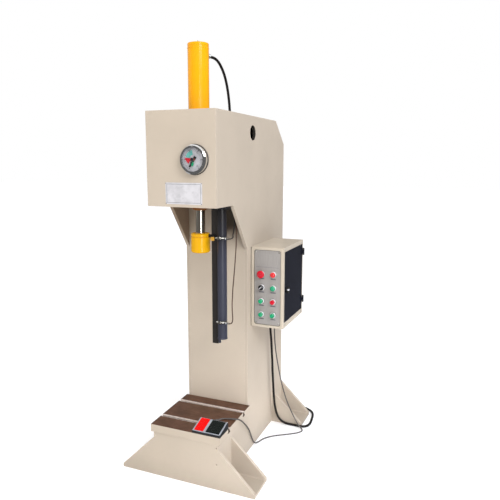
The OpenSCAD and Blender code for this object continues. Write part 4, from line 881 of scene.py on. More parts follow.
def make_head_details():
    """The blank plate's printed border and its rivets."""
    low, high = corners("blank_plate")
    y, inset, line = low.y, 6, 2.0
    x0, x1, z0, z1 = low.x + inset, high.x - inset, low.z + inset, high.z - inset
    strips = [(x0, x1, z0, z0 + line), (x0, x1, z1 - line, z1),
              (x0, x0 + line, z0 + line, z1 - line), (x1 - line, x1, z0 + line, z1 - line)]
    border = Shape()
    for left, right, bottom, top in strips:
        border.block((left, y - 0.15, bottom), (right, y + 0.1, top))
    border.piece("blank_plate_border", "grey_ink")
    rivets = Shape()
    dome, edge = [(0, 2.2), (0.8, 2.0), (1.3, 1.2), (1.45, 0.01)], 3.2
    for x in (low.x + edge, high.x - edge):
        for z in (low.z + edge, high.z - edge):
            rivets.turned(dome, (x, y, z), FRONT, 14)
    rivets.piece("blank_plate_rivets", "nickel")


# ---------------------------------------------------------------- gauge

DIAL_R, DIAL_FACE = 50.8, 9.0
SCALE_TOP, SCALE_SWEEP, SCALE_FULL = 240, 300, 25


def gauge_point(x, y, z):
    """A point of the gauge's own frame: x right, y up, z out of the head."""
    middle = centre("gauge_glass")
    return (middle.x + x, corners("head_front_plate")[0].y - z, middle.z + y)


def dial_plate(shape, outline, z, thick):
    """A flat form that lies over the dial."""
    levels = (z, z + thick)
    shape.loft([[gauge_point(x, y, level) for x, y in outline] for level in levels], smooth=False)
    return shape


def dial_blade(shape, angle, start, end, root, tip, z, thick):
    """A blade that narrows from root to tip, laid along one direction of the dial."""
    a = math.radians(angle)
    along, across = Vector((math.cos(a), math.sin(a))), Vector((-math.sin(a), math.cos(a)))
    ring = ((start, -root), (end, -tip), (end, tip), (start, root))
    return dial_plate(shape, [along * r + across * w / 2 for r, w in ring], z, thick)


def dial_band(shape, start, end, inner, outer):
    """A printed band between two radii and two directions."""
    outline = arc((0, 0), inner, start, end, 24) + arc((0, 0), outer, end, start, 24)
    return dial_plate(shape, outline, DIAL_FACE, 0.10)


def numeral(shape, text, spot, height, z):
    """A printed number, from Blender's own plain typeface."""
    data = bpy.data.curves.new("numeral", "FONT")
    data.body, data.size = text, height
    data.align_x, data.align_y = "CENTER", "CENTER"
    data.extrude = 0.05
    holder = bpy.data.objects.new("numeral", data)
    mesh = bpy.data.meshes.new_from_object(holder)
    points = [gauge_point(spot[0] + v.co.x, spot[1] + v.co.y, z + v.co.z) for v in mesh.vertices]
    shape.add(points, [list(p.vertices) for p in mesh.polygons])
    bpy.data.objects.remove(holder)
    bpy.data.curves.remove(data)
    bpy.data.meshes.remove(mesh)


def make_gauge_print():
    """The dial's marks and numbers, and its coloured sector."""
    marks, outer = Shape(), DIAL_R - 3
    for half in range(2 * SCALE_FULL + 1):
        angle = SCALE_TOP - SCALE_SWEEP * half / (2 * SCALE_FULL)
        long, thick = (10, 2.4) if half % 10 == 0 else (6, 1.1) if half % 2 == 0 else (3.6, 0.7)
        dial_blade(marks, angle, outer - long, outer, thick, thick, DIAL_FACE, 0.12)
    dial_band(marks, SCALE_TOP, SCALE_TOP - SCALE_SWEEP, outer - 0.3, outer + 0.3)
    for value in range(0, SCALE_FULL + 1, 5):
        spot = polar(DIAL_R - 19, SCALE_TOP - SCALE_SWEEP * value / SCALE_FULL)
        numeral(marks, str(value), spot, 10, DIAL_FACE + 0.05)
    marks.piece("gauge_scale", "ink")
    dial_band(Shape(), 164, 102, 21, 41).piece("gauge_sector", "teal_ink")


def make_gauge_pointers():
    """The main pointer's blade, drawn wider than the pointer so that it also stands for the pointer's
    painted shadow on the dial, and the high setting's flag.
    """
    # The blade's width is part pointer, part painted shadow.
    needle = dial_blade(Shape(), SCALE_TOP - 4, -15, 38, 13, 8, 11.05, 0.2)
    needle.piece("gauge_needle_blade_and_shadow", "ink", "gauge_needle")
    outline = [(-31, -9), (-23, -18), (-15, -5), (-13, 6), (-42, 7)]
    dial_plate(Shape(), outline, 15.05, 0.3).piece("high_setting_flag", "red_plastic", "high_setting")


def make_gauge_trim():
    """The black turning knob, the bezel's screws and the gasket behind the case."""
    ridges = [(a, 7.6 if k % 2 else 7.0) for k, a in enumerate(turns(48))]
    levels = ((22.4, 1), (28.2, 1), (29.8, 0.86), (30.1, 0.5))
    knob = Shape().loft([[gauge_point(s * r * math.cos(a), s * r * math.sin(a), z) for a, r in ridges]
                         for z, s in levels], smooth=False)
    knob.piece("gauge_knob", "black_plastic")
    trim = Shape()
    for angle in (90, 210, 330):
        trim.screw(gauge_point(*polar(54, angle), 24.9), FRONT, 2.3, 1.2, "line")
    trim.piece("gauge_screws", "nickel")
    section = [(0, 62), (0, 65.2), (2.0, 65.2), (2.4, 64.6), (2.4, 62)]
    Shape().turned(section, gauge_point(0, 0, 0), FRONT, 64).piece("gauge_gasket", "rubber")


# ---------------------------------------------------------------- cylinder, ram and guide post

POST_X, POST_R, POST_FLANGE = 111, 22.5, 12


def hose_end(shape, start, axis, spanner, ferrule):
    """A swaged hose end: nut with chamfers, neck, and a crimped ferrule."""
    flat, height = spanner / math.cos(math.radians(30)) / 2, 15
    shape.turned([(0, flat * 0.93), (1, flat), (height - 1.4, flat), (height, flat * 0.92)], start, axis, 6)
    r = ferrule / 2
    profile = [(height - 0.1, r * 0.8), (height + 3, r * 0.8), (height + 3, r)]
    for t in range(height + 5, height + 40, 6):
        profile += [(t, r), (t + 0.6, r * 0.93), (t + 2.6, r * 0.93), (t + 3.2, r)]
    profile += [(height + 43, r), (height + 45, r * 0.9)]
    shape.turned(profile, start, axis, 28)


def make_hose_ends():
    """Crimped ends at the cylinder's port and at the valve block."""
    low = corners("hose_fittings")[0]
    ends = Shape()
    hose_end(ends, (0, low.y, HOSE_ROUTE[0][2]), BACK, 27, 20)
    hose_end(ends, (0, HOSE_ROUTE[-1][1], low.z), UP, 27, 20)
    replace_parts(ends.piece("crimped_hose_ends", "zinc"), "hose_fittings")


def make_cylinder_details():
    """The weld under the cylinder's cap and the bleed plug on top of it."""
    barrel_r, top_z = 47.5, corners("cylinder_barrel")[1].z
    rings("cylinder_welds", [((0, 0, top_z - 22), UP, barrel_r, 1.5)], "yellow")
    plug = Shape()
    plug.turned([(0, 11), (1.5, 11), (1.5, 9)], (0, 0, top_z - 1.5), UP, 24)
    plug.turned([(0, 9.2), (7, 9.2), (8, 8.4)], (0, 0, top_z), UP, 6)
    plug.turned([(0, 4), (3, 4), (4, 3)], (0, 0, top_z + 8), UP, 16)
    plug.piece("bleed_plug", "zinc")


def make_ram_details():
    """The collar's screws, the ram's turned lines, and the trip arm's target flag and stiffener."""
    collar_z, screw_circle = corners("clamp_collar")[1].z, 34
    ram_low, ram_r = corners("ram_head")[0], corners("ram_head")[1].x
    screws = Shape()
    for angle in (45, 135, 225, 315):
        screws.screw((*polar(screw_circle, angle), collar_z - 5), UP, 6.2, 6)
    screws.piece("collar_screws", "ram_yellow", "ram")
    lines = Shape()
    section = [(0, ram_r - 1), (0.2, ram_r + 0.25), (1.0, ram_r + 0.25), (1.2, ram_r - 1)]
    for z in (ram_low.z + 18, ram_low.z + 22):
        lines.turned(section, (0, 0, z), UP, 64, closed=False)
    lines.piece("ram_head_lines", "ram_yellow", "ram")
    low, high = corners("trip_arm")
    x1, y0, sensor_z = high.x, low.y, centre("sensor_upper").z
    flag = Shape().block((x1 - 15, y0 - 1, sensor_z - 12), (x1 + 0.8, y0 + 9, sensor_z + 5), 1.2)
    flag.piece("target_flag", "dull_yellow", "ram")
    arm_z = collar_z - 13
    arm = Shape().block((ram_r + 0.5, -8.8, arm_z - 1), (x1 - 9, -3, arm_z + 10), 0.8)
    arm.screw((ram_r + 7, -8.5, arm_z + 3), FRONT, 3.4, 2.6)
    arm.piece("trip_arm_stiffener", "black_steel", "ram")


def make_post_welds():
    """Round welds at both ends of the guide post, and the stitch welds of its flat bar."""
    low, high = corners("guide_post")
    rings("post_welds", [((POST_X, 0, high.z - POST_FLANGE), UP, POST_R, 2.2),
                         ((POST_X, 0, low.z + 24), UP, POST_R + 0.6, 1.4)], "slate")
    first, pitch, stitch, joint_x = low.z + 55, 100, 35, POST_X - POST_R - 0.6
    runs = []
    for z in [first + pitch * k for k in range(6)]:
        runs += [((joint_x, y, z), (joint_x, y, z + stitch)) for y in (-2.6, 2.6)]
    # The bar's welds take the bar's near-black painted shade.
    beads("bar_welds", runs, 1.6, "dark_bar")


def make_bar_and_washers():
    """A near-black sheet over the post's flat bar, painted shade for the recess it lies in behind the tube,
    and black steel washers under its flange, whose black is also painted shade under the head.
    """
    low, high = corners("guide_post")
    flange_z, cap_t, bar_half = high.z - POST_FLANGE, 6, 2.25
    bar = Shape().block((low.x - 0.2, -bar_half, low.z - cap_t + 0.1),
                        (POST_X - POST_R + 0.6, bar_half, flange_z - 0.2), 0.5)
    bar.piece("guide_bar_painted_shade", "dark_bar")
    washers = Shape()
    for x in (POST_X - 30, POST_X + 30):
        for y in (-22, 22):
            washers.turned([(0, 12), (1.9, 12), (2.2, 11.5), (2.2, 6)], (x, y, flange_z), DOWN, 28)
    washers.piece("post_washers", "black_steel")


def make_sensor(name, word):
    """Thread, sensing face, light and boot of one proximity sensor."""
    start = (corners(name)[0].x, *centre(name).yz)
    threads = [(k + t, r) for k in range(44) for t, r in ((2.5, 3.85), (3.0, 4.18))]
    folds = [(55.6, 4.0)]
    for k in range(5):
        t, r = 56 + 2.1 * k, 4.75 - 0.28 * k
        folds += [(t, r), (t + 1.2, r), (t + 1.6, 4.0 - 0.2 * k)]
    for part, finish, profile, sides, closed in (
        ("thread", "nickel", threads, 16, False),
        ("face", "black_plastic", [(-0.3, 0.01), (-0.3, 3.9), (0, 4.2), (2.4, 4.2), (2.4, 3.9)], 20, True),
        ("light", "pale_plastic", [(50, 4.0), (50.2, 4.3), (52.4, 4.3), (52.6, 4.0)], 20, False),
        ("boot", "black_plastic", [*folds, (67.2, 2.6)], 20, True),
    ):
        Shape().turned(profile, start, RIGHT, sides, closed).piece(f"{word}_sensor_{part}", finish)


def make_sensors():
    """Both sensors, and the worm drives and notches of the bands that hold them."""
    make_sensor("sensor_upper", "upper")
    make_sensor("sensor_lower", "lower")
    bands = Shape()
    band_r, drive_y = POST_R + 1.05, 27
    for z in (centre("sensor_upper").z, centre("sensor_lower").z):
        for k in range(-7, 8):
            angle = 90 + 11 * k
            spot, lean = Vector((*polar(band_r, angle, (POST_X, 0)), z)), polar(0.5, angle + 90)
            reach = Vector((*lean, 2.6))
            bands.tube([spot - reach, spot + reach], 0.35, 4)
        bands.turned([(0, 3.2), (3.2, 3.2), (4, 2.6), (4, 0.01)], (POST_X + 7, drive_y, z), RIGHT, 6)
        bands.turned([(0, 2.4), (2, 2.4), (2.6, 1.8), (2.6, 0.01)], (POST_X - 7, drive_y, z), LEFT, 14)
    bands.piece("band_drives", "zinc")


# ---------------------------------------------------------------- control box

BUTTONS = ["pump_start_button", "pump_stop_button", "ram_down_button", "ram_up_button"]
CONTROLS = ["e_stop_button", "selector_knob", *BUTTONS]


def spot_of(node):
    """Where a control stands on the panel, in x and z."""
    return tuple(centre(node).xz)


def make_legend_tabs():
    """Blank legend tabs under the controls and the lamps."""
    y = corners("operator_panel")[0].y
    spots = [spot_of(name) for name in CONTROLS]
    lamp_x = spot_of("pump_stop_button")[0]
    spots += [(lamp_x, spots[0][1]), (lamp_x, spots[1][1])]
    tabs, faces = Shape(), Shape()
    for x, z in spots:
        tabs.block((x - 14, y - 0.7, z - 27), (x + 14, y + 0.1, z - 20.5), 0.3)
        faces.block((x - 12.4, y - 0.95, z - 25.6), (x + 12.4, y - 0.6, z - 21.9), 0.12)
    tabs.piece("legend_tabs", "grey_ink")
    faces.piece("legend_tab_faces", "tab_grey")


def make_panel_header():
    """A blank header plate with a printed rule under it."""
    low, high = corners("operator_panel")
    y = low.y
    x0, x1, z0, z1 = low.x + 17, high.x - 17, high.z - 78, high.z - 20
    header = Shape().prism(chamfered(x0, x1, z0, z1, 4), 1, y - 0.8, y + 0.1)
    header.prism(rectangle(x0, x1, z0, z1, 3), 1, y - 1.0, y - 0.7)
    header.piece("panel_header", "panel")
    rule = Shape().block((x0 - 8, y - 0.4, z0 - 8), (x1 + 8, y + 0.1, z0 - 6), 0.15)
    rule.piece("panel_rule", "grey_ink")


def make_panel_edges():
    """The panel's corner screws and seal, and a dark bead of painted shade down the box's front edge beside
    the column.
    """
    low, high = corners("operator_panel")
    y, inset = low.y, 9
    screws = Shape()
    for x in (low.x + inset, high.x - inset):
        for z in (low.z + inset, high.z - inset):
            screws.screw((x, y, z), FRONT, 3.2, 1.9, "cross")
    screws.piece("panel_screws", "nickel")
    lip, corner_r, gap = 3.2, 12, 0.2
    outer = rounded(low.x - lip, high.x + lip, low.z - lip, high.z + lip, corner_r + lip)
    inner = rounded(low.x + gap, high.x - gap, low.z + gap, high.z - gap, corner_r)
    Shape().rim(outer, inner, 1, y + 1.6, y - 0.6).piece("panel_edge", "seal")
    # A dark bead down the box's left front edge: painted shade in the gap beside the column.
    box_low, box_high = corners("control_box")
    corner = (box_low.x + 0.4, box_low.y + 0.4)
    path = [(*corner, z) for z in (box_low.z + 1, box_low.z + 6, box_high.z - 6, box_high.z - 1)]
    Shape().tube(path, lambda i: 1.4 if i in (0, 3) else 2.2, 8).piece("box_edge_shade", "seal")


def make_selector_mark():
    """The selector's white stripe, at 45 degrees."""
    y = corners("selector_knob")[0].y
    x, z = spot_of("selector_knob")
    half, reach, slant = 2.1, 9.5, math.sqrt(0.5)
    outline = [(-reach, -half), (reach, -half), (reach + half, 0), (reach, half), (-reach, half),
               (-reach - half, 0)]
    mark = Shape().prism([(x + slant * (a - b), z + slant * (a + b)) for a, b in outline],
                         1, y - 0.35, y + 0.2)
    mark.piece("selector_mark", "white", "selector")


def make_stop_arrows():
    """Three curved arrows on the mushroom head."""
    y, spot = corners("e_stop_button")[0].y, spot_of("e_stop_button")
    arrows = Shape()
    for start in (20, 140, 260):
        stem = arc(spot, 7.2, start, start + 62, 10) + arc(spot, 5.6, start + 62, start, 10)
        head = [polar(r, start + angle, spot) for r, angle in ((9.0, 60), (6.4, 84), (3.8, 60))]
        for outline in (stem, head):
            arrows.prism(outline, 1, y - 0.25, y + 0.8)
    arrows.piece("e_stop_arrows", "pale_red", "emergency_stop")


def make_collar_washers():
    """A washer under each push button's collar."""
    washers, y = Shape(), corners("operator_panel")[0].y
    section = [(0.1, 14.2), (0.4, 15.4), (1.4, 15.4), (1.8, 14.4)]
    for name in BUTTONS:
        x, z = spot_of(name)
        washers.turned(section, (x, y, z), FRONT, 40, closed=False)
    washers.piece("collar_washers", "rubber")


def make_door_details():
    """Pressed rim round the door and the lock's key barrel."""
    low, high = corners("control_door")
    x, door = low.x + 2, (low.y, low.y + 298, low.z, high.z)
    edging = Shape().rim(rectangle(*door, 0.3), rectangle(*door, 4), 0, x - 0.2, x + 0.7)
    edging.piece("door_edging", "door", "door", bevel=0.25)
    x, y, z = corners("door_lock")[1].x, centre("door_lock").y, corners("door_lock")[0].z + 17
    profile = [(-7, 4.6), (0.8, 4.6), (1.4, 4.0), (1.4, 1.0)]
    barrel = Shape().turned(profile, (x, y, z), RIGHT, 24, closed=False)
    barrel.block((x + 0.6, y - 0.8, z - 3.2), (x + 1.5, y + 0.8, z + 3.2), 0.2)
    barrel.piece("lock_barrel", "satin_silver", "lock")


def make_box_screws():
    """Screws of the hinges, and of the box's side beside the door."""
    screws, half_hinge, half_pitch = Shape(), 20, 13
    low, high = corners("hinge_pins")
    for hinge_z in (low.z + half_hinge, high.z - half_hinge):
        for z in (hinge_z - half_pitch, hinge_z + half_pitch):
            screws.screw((low.x + 3, high.y - 2, z), BACK, 2.2, 2.4, "cross")
    low, high = corners("control_box")
    for y in (low.y + 36, high.y - 30):
        for z in (low.z + 15, high.z - 13):
            screws.screw((high.x, y, z), RIGHT, 3.2, 2.0, "cross")
    screws.piece("box_screws", "zinc")


def make_glands():
    """Ribbed dome nuts, sealing washers and lock nuts on the two cable glands."""
    x, low_z = centre("cable_glands").x, corners("cable_glands")[0].z
    ribs = Shape()
    for y in (MAINS_GLAND[1], PEDAL_GLAND[1]):
        for a in turns(18):
            out = Vector((math.cos(a), math.sin(a), 0))
            path = [Vector((x, y, low_z + z)) + out * r for r, z in ((10.9, 19), (10.9, 8.5), (9.6, 6.5))]
            ribs.tube(path, 0.8, 5)
        ribs.turned([(0, 14.4), (0.6, 15.6), (2.2, 15.6), (2.4, 14.6)], (x, y, low_z + 27.4), UP, 32)
        ribs.turned([(0, 6.8), (0, 8.6), (2.4, 8.9), (2.6, 10.2)], (x, y, low_z - 0.4), UP, 28)
    ribs.piece("gland_ribs", "black_plastic")


def ribbed(length, wide, narrow, count):
    """A taper with bending slots: (distance, radius) pairs from wide to narrow."""
    profile = [(0, wide)]
    for k in range(count):
        t, slot = length * (k + 0.25) / count, length * 0.28 / count
        r = wide + (narrow - wide) * t / length
        profile += [(t, r), (t + 0.3, r * 0.86), (t + slot, r * 0.86), (t + slot + 0.3, r)]
    return profile + [(length, narrow)]


def relief(name, start, axis, profile, finish):
    """A tapered, ribbed strain relief sleeve round a lead."""
    return Shape().turned(profile, start, axis, 24).piece(name, finish)


def make_reliefs():
    """Strain reliefs under both glands and at the back of the foot switch."""
    x, y, z = MAINS_GLAND
    relief("mains_strain_relief", (x, y, z + 4), DOWN, ribbed(30, 9.4, 7.2, 5), "black_plastic")
    x, y, z = PEDAL_GLAND
    relief("foot_lead_strain_relief", (x, y, z + 4), DOWN, ribbed(24, 8.4, 4.3, 5), "black_plastic")
    x, y, z = PEDAL_ROUTE[0]
    relief("foot_switch_boot", (x, y - 22, z), BACK, ribbed(24, 7.2, 5.2, 5), "rubber")


# ---------------------------------------------------------------- inside the control box

CONTACTORS, CONTACT_ROWS = (20, 82, 144), (246, 312)
FIRST_TERMINAL, TERMINAL_PITCH = 25.5, 13


class Gear(Shape):
    """Parts on the switchgear's plate, by height off it, and by y and z from its corner."""

    low, high = corners("switch_gear")
    plate_t = 6
    wide, tall = high.y - low.y, high.z - low.z

    def at(self, h, y, z):
        return (self.low.x + self.plate_t + h, self.low.y + y, self.low.z + z)

    def box(self, heights, ys, zs, chamfer):
        low, high = zip(heights, ys, zs)
        return self.block(self.at(*low), self.at(*high), chamfer)


def make_ducts():
    """Wire ducts across the top, across the middle and up one side, with their slots' teeth."""
    ducts, wide, tall, pitch = Gear(), Gear.wide, Gear.tall, 9
    for ys, zs in (((3, wide - 5), (tall - 34, tall - 8)), ((20, 134), (88, 112)),
                   ((3, 17), (88, tall - 36))):
        ducts.box((0.3, 40), ys, zs, 1.0)
        (y0, y1), (z0, z1) = ys, zs
        for k in range(int(max(y1 - y0, z1 - z0) / pitch)):
            near, far = 3 + pitch * k, 7 + pitch * k
            if y1 - y0 > z1 - z0:
                ducts.box((8, 36), (y0 + near, y0 + far), (z0 - 1, z1 + 1), 0.5)
            else:
                ducts.box((8, 36), (y0 - 1, y1 + 1), (z0 + near, z0 + far), 0.5)
    ducts.piece("wire_ducts", "pale_plastic")


def make_rails():
    """Three hat-shaped mounting rails."""
    rails, half, lip = Gear(), 17.5, 12.5
    profile = [(0.2, -half), (7.5, -half), (7.5, -lip), (1.4, -lip), (1.4, lip), (7.5, lip),
               (7.5, half), (0.2, half)]
    for middle in (52, 185, 298):
        rails.loft([[rails.at(h, y, middle + z) for h, z in profile]
                    for y in (6, Gear.wide - 8)], smooth=False)
    rails.piece("din_rails", "zinc")


def make_contactors():
    """The contactors' fronts, their plungers and their terminal covers."""
    fronts = Gear()
    for y in CONTACTORS:
        fronts.box((69.5, 76), (y + 6, y + 42), (258, 302), 1.5)
        fronts.box((75, 79), (y + 16, y + 32), (270, 290), 1.0)
        for z in CONTACT_ROWS:
            fronts.box((60, 72), (y + 3, y + 45), (z - 5, z + 5), 1.0)
    fronts.piece("contactor_fronts", "black_plastic")


def make_fuse_carriers():
    """Pull-out carriers with raised grips."""
    carriers = Gear()
    for y in (20, 58, 96):
        carriers.box((54, 64), (y + 5, y + 25), (164, 206), 1.5)
        carriers.box((62, 70), (y + 9, y + 21), (180, 198), 1.5)
    carriers.piece("fuse_carriers", "white")


def make_terminal_screws():
    """Slotted screws in the row of terminals, cross-headed ones in the contactors."""
    screws = Gear()
    for k in range(14):
        for z in (39, 66):
            screws.screw(screws.at(39.8, FIRST_TERMINAL + TERMINAL_PITCH * k, z), RIGHT, 3.4, 1.6, "line")
    for y in CONTACTORS:
        for across in (11, 24, 37):
            for z in CONTACT_ROWS:
                screws.screw(screws.at(71.8, y + across, z), RIGHT, 3.2, 1.6, "cross")
    screws.piece("terminal_screws", "brass")


def make_transformer():
    """The transformer's wound body, with nine ribs round it."""
    coils, y, z = Gear(), 172.5, 160
    coils.box((12, 70), (y - 36, y + 36), (z - 27, z + 27), 6)
    for h in range(15, 64, 6):
        coils.box((h, h + 4), (y - 37, y + 37), (z - 28, z + 28), 1.6)
    coils.piece("transformer_coils", "brass")


def sagging(start, end, sag, count=14):
    """A loose wire between two points: it leaves both ends level and sags between."""
    path = []
    for i in range(count + 1):
        t = i / count
        p = Vector(start).lerp(Vector(end), t)
        p.z -= sag * math.sin(math.pi * t) ** 1.5
        path.append(p)
    return path


def make_wiring():
    """Single wires from the side duct to the controls, and from terminals to glands."""
    low = corners("switch_gear")[0]
    back, wire_r = corners("control_collars")[1].y, 1.3
    columns = (spot_of("e_stop_button")[0], spot_of("pump_stop_button")[0])
    rows = ("e_stop_button", "selector_knob", "pump_start_button", "ram_down_button")
    for i, finish in enumerate(("wire_red", "wire_blue", "wire_yellow", "wire_black")):
        wires, z = Shape(), spot_of(rows[i])[1]
        for k, x in enumerate(columns):
            for j in (-1, 1):
                start = (low.x + 22 + 6 * k, low.y + 3, z - 16 + 9 * k + 4 * j)
                wires.tube(sagging(start, (x + 7 * j, back - 0.5, z + 5 * j), 16 + 5 * k), wire_r, 6)
        for k in range(3):
            y = min(FIRST_TERMINAL + TERMINAL_PITCH * (i + 4 * k), 195)
            gland = (MAINS_GLAND, PEDAL_GLAND)[k % 2]
            start = low + Vector((40, y, 31))
            end = Vector((gland[0] + 2 * i - 3, gland[1] + 2 * k - 2, 682))
            middle = start.lerp(end, 0.5) + Vector((5, 0, -2))
            path = [start, start + Vector((3, 0, -5)), middle, end + Vector((0, 0, 8)), end]
            wires.tube(path, wire_r, 6)
        wires.piece(finish + "s", finish)


# ---------------------------------------------------------------- foot switch

def make_switch_mat():
    """A rubber mat round the foot switch's lower edge."""
    low, high = corners("foot_switch_base")
    x0, x1, y0, y1, z = low.x, high.x, low.y, low.y + 96, low.z
    outer = rectangle(x0 - 1, x1 + 1.4, y0 - 1, y1 + 1.4)
    mat = Shape().rim(outer, rectangle(x0, x1, y0, y1, 3), 2, z + 0.05, z + 4.2)
    mat.piece("foot_switch_mat", "rubber", bevel=0.8)


def make_pedal_ribs(node, body, finish):
    """Seven anti-slip ribs across a pedal, which rises to the back."""
    base = corners("foot_switch_base")[0]
    low, high = corners(node)
    first, pitch, rise, depth = 14, 9.5, 22, 84
    ribs = Shape()
    for y in [first + pitch * k for k in range(7)]:
        top = base.z + 14.3 + rise * min(1, y / depth)
        path = [(low.x + 4, top - 0.6), (low.x + 6, top + 0.1), (high.x - 6, top + 0.1),
                (high.x - 4, top - 0.6)]
        ribs.tube([(x, base.y + y, z) for x, z in path], 1.1, 8)
    ribs.piece(node + "_ribs", finish, body)


def make_switch_screws():
    """The foot switch's corner screws and the ends of the pedals' pin."""
    low, high = corners("foot_switch_base")
    screws = Shape()
    for x in (low.x + 3.5, high.x - 3.5):
        for y, z in ((92.5, 33.2), (3.0, 12.6)):
            screws.screw((x, low.y + y, low.z + z), (0, 0.1, 1), 2.2, 1.3, "cross")
    screws.piece("foot_switch_screws", "nickel")
    pins, profile = Shape(), [(-0.2, 2.4), (0.5, 2.4), (0.9, 1.8), (0.9, 0.01)]
    for x, way in ((low.x, LEFT), (high.x, RIGHT)):
        pins.turned(profile, (x, low.y + 13, low.z + 9.5), way, 16)
    pins.piece("pedal_pin_ends", "nickel")


# ---------------------------------------------------------------- rear, plug and coil

def make_louvre_hoods():
    """Pressed hoods over the louvre slots, each a bent sheet between two cheeks."""
    y, half, top_z, pitch = corners("rear_plate")[1].y + 2, 37.4, 507.5, 22
    sheet = [(-0.2, 6.5), (5.4, -2.2), (5.2, -3.4), (4.3, -3.2), (-0.2, 4.6)]
    cheek = [(-0.2, 6.5), (5.4, -2.2), (-0.2, -3.2)]
    spans = ((sheet, -half, half), (cheek, -half - 1, 1 - half), (cheek, half - 1, half + 1))
    hoods = Shape()
    for x in (-55, 55):
        for z in [top_z - pitch * i for i in range(8)]:
            for outline, x0, x1 in spans:
                hoods.prism([(y + a, z + b) for a, b in outline], 0, x + x0, x + x1)
    hoods.piece("louvre_hoods", "cream")


def make_cover_screws():
    """Cross-headed screws round the rear cover."""
    low, high = corners("rear_cover")
    screws, inset = Shape(), 7.5
    for x in (low.x + inset, high.x - inset):
        for z in (low.z + inset, (low.z + high.z) / 2, high.z - inset):
            screws.screw((x, high.y - 0.4, z), BACK, 5.2, 2.4, "cross")
    screws.piece("cover_screws", "zinc")


def make_plug():
    """Pins and grip ribs of the mains plug; they ride with the cord."""
    x, y, z = MAINS_TAIL[-1]
    pins = Shape()
    for k, r in enumerate((3.4, 2.9, 2.9, 2.9, 2.9)):
        spot = polar(15, 90 + 72 * k, (y, z))
        pins.turned([(0, r), (23, r), (25, r * 0.6), (25, 0.01)], (x - 90, *spot), LEFT, 16)
    grip = Shape()
    for a in turns(16, 0.5):
        out = Vector((0, math.cos(a), math.sin(a)))
        profile = ((34, 21.4), (37, 22.2), (66, 22.2), (69, 21.4))
        grip.tube([Vector((x - back, y, z)) + out * r for back, r in profile], 1.3, 6)
    boot = relief("plug_boot", (x - 2, y, z), RIGHT, ribbed(22, 10.6, 7.0, 4), "black_plastic")
    return [boot, pins.piece("plug_pins", "brass"), grip.piece("plug_grip", "red_plastic")]


def make_coil_ties():
    """Two cable ties round the coil's turns."""
    ties = Shape()
    inner, outer = COIL_R - MAINS_D - 0.4, COIL_R + MAINS_D + 0.6
    loop = [(inner, 0.9), (outer, 0.9), (outer + 0.8, 4), (outer + 0.8, 12), (outer - 12, 27.4),
            (inner + 2, 27.2), (inner - 0.6, 12), (inner - 0.6, 4), (inner, 0.9)]
    for angle in (20, 200):
        u, v = Vector((*polar(1, angle), 0)), Vector((*polar(1, angle + 90), 0))
        middle = Vector((COIL_X, COIL_Y, 0))
        for shift in (-1.2, 0, 1.2):
            ties.tube([middle + u * r + v * shift + Vector((0, 0, h)) for r, h in loop], 0.85, 6)
        head = middle + u * (outer + 1.8)
        ties.tube([head + Vector((0, 0, h)) for h in (6, 12)], 2.6, 4)
    return ties.piece("coil_ties", "black_plastic")


# ---------------------------------------------------------------- put it together

soften(["side_plate_left", "side_plate_right", "head_front_plate", "base_front_plate",
        "front_feet", "rear_feet", "column_front_plate"], 1.6)
soften(["table_plate"], 1.0)
soften(["control_box", "rear_cover", "rear_plate", "trip_arm"], 0.8)
soften(["control_door", "blank_plate", "foot_switch_base"], 0.6)
soften(["red_pedal", "black_pedal"], 3.0, 3)
soften(["door_lock", "hinge_pins", "hex_bolts"], 0.5)
make_foot_welds()
make_throat_welds()
make_head_details()
make_gauge_print()
make_gauge_pointers()
make_gauge_trim()
make_hose_ends()
make_cylinder_details()
make_ram_details()
make_post_welds()
make_bar_and_washers()
make_sensors()
make_legend_tabs()
make_panel_header()
make_panel_edges()
make_selector_mark()
make_stop_arrows()
make_collar_washers()
make_door_details()
make_box_screws()
make_glands()
make_reliefs()
make_ducts()
make_rails()
make_contactors()
make_fuse_carriers()
make_terminal_screws()
make_transformer()
make_wiring()
make_switch_mat()
make_pedal_ribs("red_pedal", "left_pedal", "pedal_red")
make_pedal_ribs("black_pedal", "right_pedal", "pedal_black")
make_switch_screws()
make_louvre_hoods()
make_cover_screws()
make_cords(make_plug(), make_coil_ties())


# ---------------------------------------------------------------- studio

def area_light(name, location, target, size, power, colour, mirrored=True, lights=True, spread=180):
    """A soft panel of light that looks at its target."""
    data = bpy.data.lights.new(name, "AREA")
    data.spread = math.radians(spread)
    data.shape, data.size, data.size_y = "RECTANGLE", size[0], size[1]
    data.energy, data.color = power, colour
    light = bpy.data.objects.new(name, data)
    light.visible_glossy = mirrored
    light.visible_diffuse = lights
    light.location = location
    light.rotation_mode = "QUATERNION"
    light.rotation_quaternion = (Vector(target) - Vector(location)).to_track_quat("-Z", "Y")
    bpy.context.scene.collection.objects.link(light)


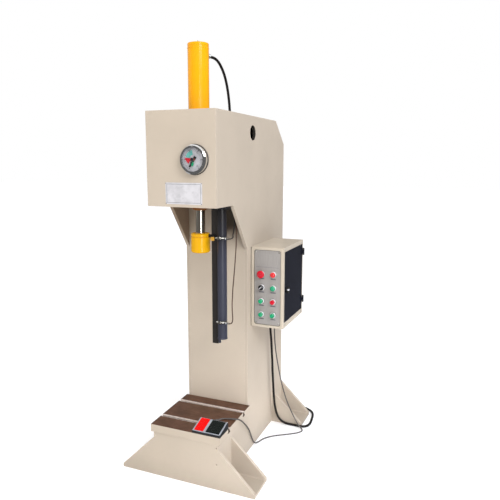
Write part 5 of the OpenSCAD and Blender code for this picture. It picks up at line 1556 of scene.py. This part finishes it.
def make_world():
    """An even pale room, warmer to the left; mirrors see a darker one with a bright ceiling."""
    world = bpy.data.worlds.new("studio")
    bpy.context.scene.world = world
    world.use_nodes = True
    n = Graph(world.node_tree)
    direction = n.add("TexCoord").outputs["Generated"]
    across, upward = n.part_of(direction, 0), n.part_of(direction, 2)
    lit = n.tree.nodes["Background"]
    n.feed(lit.inputs["Color"], n.mix(n.ramp(across, -0.4, 0.8), (1.0, 0.98, 0.95), (0.94, 1.0, 1.15)))
    n.feed(lit.inputs["Strength"], n.ramp(upward, 0.35, 1.0, 0.75, 1.30))
    ceiling = n.ramp(upward, 0.25, 0.8, 0.14, 1.1)
    left_wall = n.times(n.ramp(across, -0.95, -0.55, 0.9, 0.0), n.ramp(upward, -0.12, 0.03, 0.2, 1.0))
    mirrored, seen = n.add("Background"), n.add("Background")
    n.feed(mirrored.inputs["Color"], (1, 0.985, 0.96))
    n.feed(mirrored.inputs["Strength"], n.larger(ceiling, left_wall))
    n.feed(seen.inputs["Color"], (1, 1, 1))
    rays = n.add("LightPath")
    gloss, whole = n.add("MixShader"), n.add("MixShader")
    for shader, ray, first, second in ((gloss, "Is Glossy Ray", lit, mirrored),
                                       (whole, "Is Camera Ray", gloss, seen)):
        n.join(rays.outputs[ray], shader.inputs[0])
        n.join(first.outputs[0], shader.inputs[1])
        n.join(second.outputs[0], shader.inputs[2])
    n.join(whole.outputs[0], n.tree.nodes["World Output"].inputs["Surface"])


def make_studio():
    """Plain pale floor, pale surround and large soft lights."""
    area_light("key", (-1.2, -3.7, 1.2), (0, 0, 0.6), (1.2, 2.2), 20, (1.0, 0.96, 0.90), mirrored=False)
    area_light("ceiling", (3.0, -2.2, 3.6), (0, 0, 0.6), (1.8, 1.8), 135, (0.97, 0.98, 1.0))
    area_light("strip", (2.1, -2.45, 1.1), (0, 0, 1.1), (0.35, 2.2), 40, (1.0, 1.0, 1.0), lights=False)
    area_light("low_fill", (2.2, -1.2, 0.25), (0.3, 0.45, 0.08), (0.8, 0.3), 3.0, (0.95, 0.98, 1.07),
               mirrored=False, spread=45)
    reach = 30
    floor = bpy.data.meshes.new("floor")
    floor.from_pydata(laid(rectangle(-reach, reach, -reach, reach), 2, 0), [], [(0, 1, 2, 3)])
    ground = bpy.data.objects.new("floor", floor)
    bpy.context.scene.collection.objects.link(ground)
    ground.visible_glossy = False
    floor.materials.append(Nodes("floor").finish(
        (0.92, 0.92, 0.92), 1.0, Specular_IOR_Level=0.0, Emission_Color=(1, 1, 1, 1),
        Emission_Strength=0.15))
    make_world()
    bpy.context.scene.view_settings.view_transform = "Standard"


make_studio()
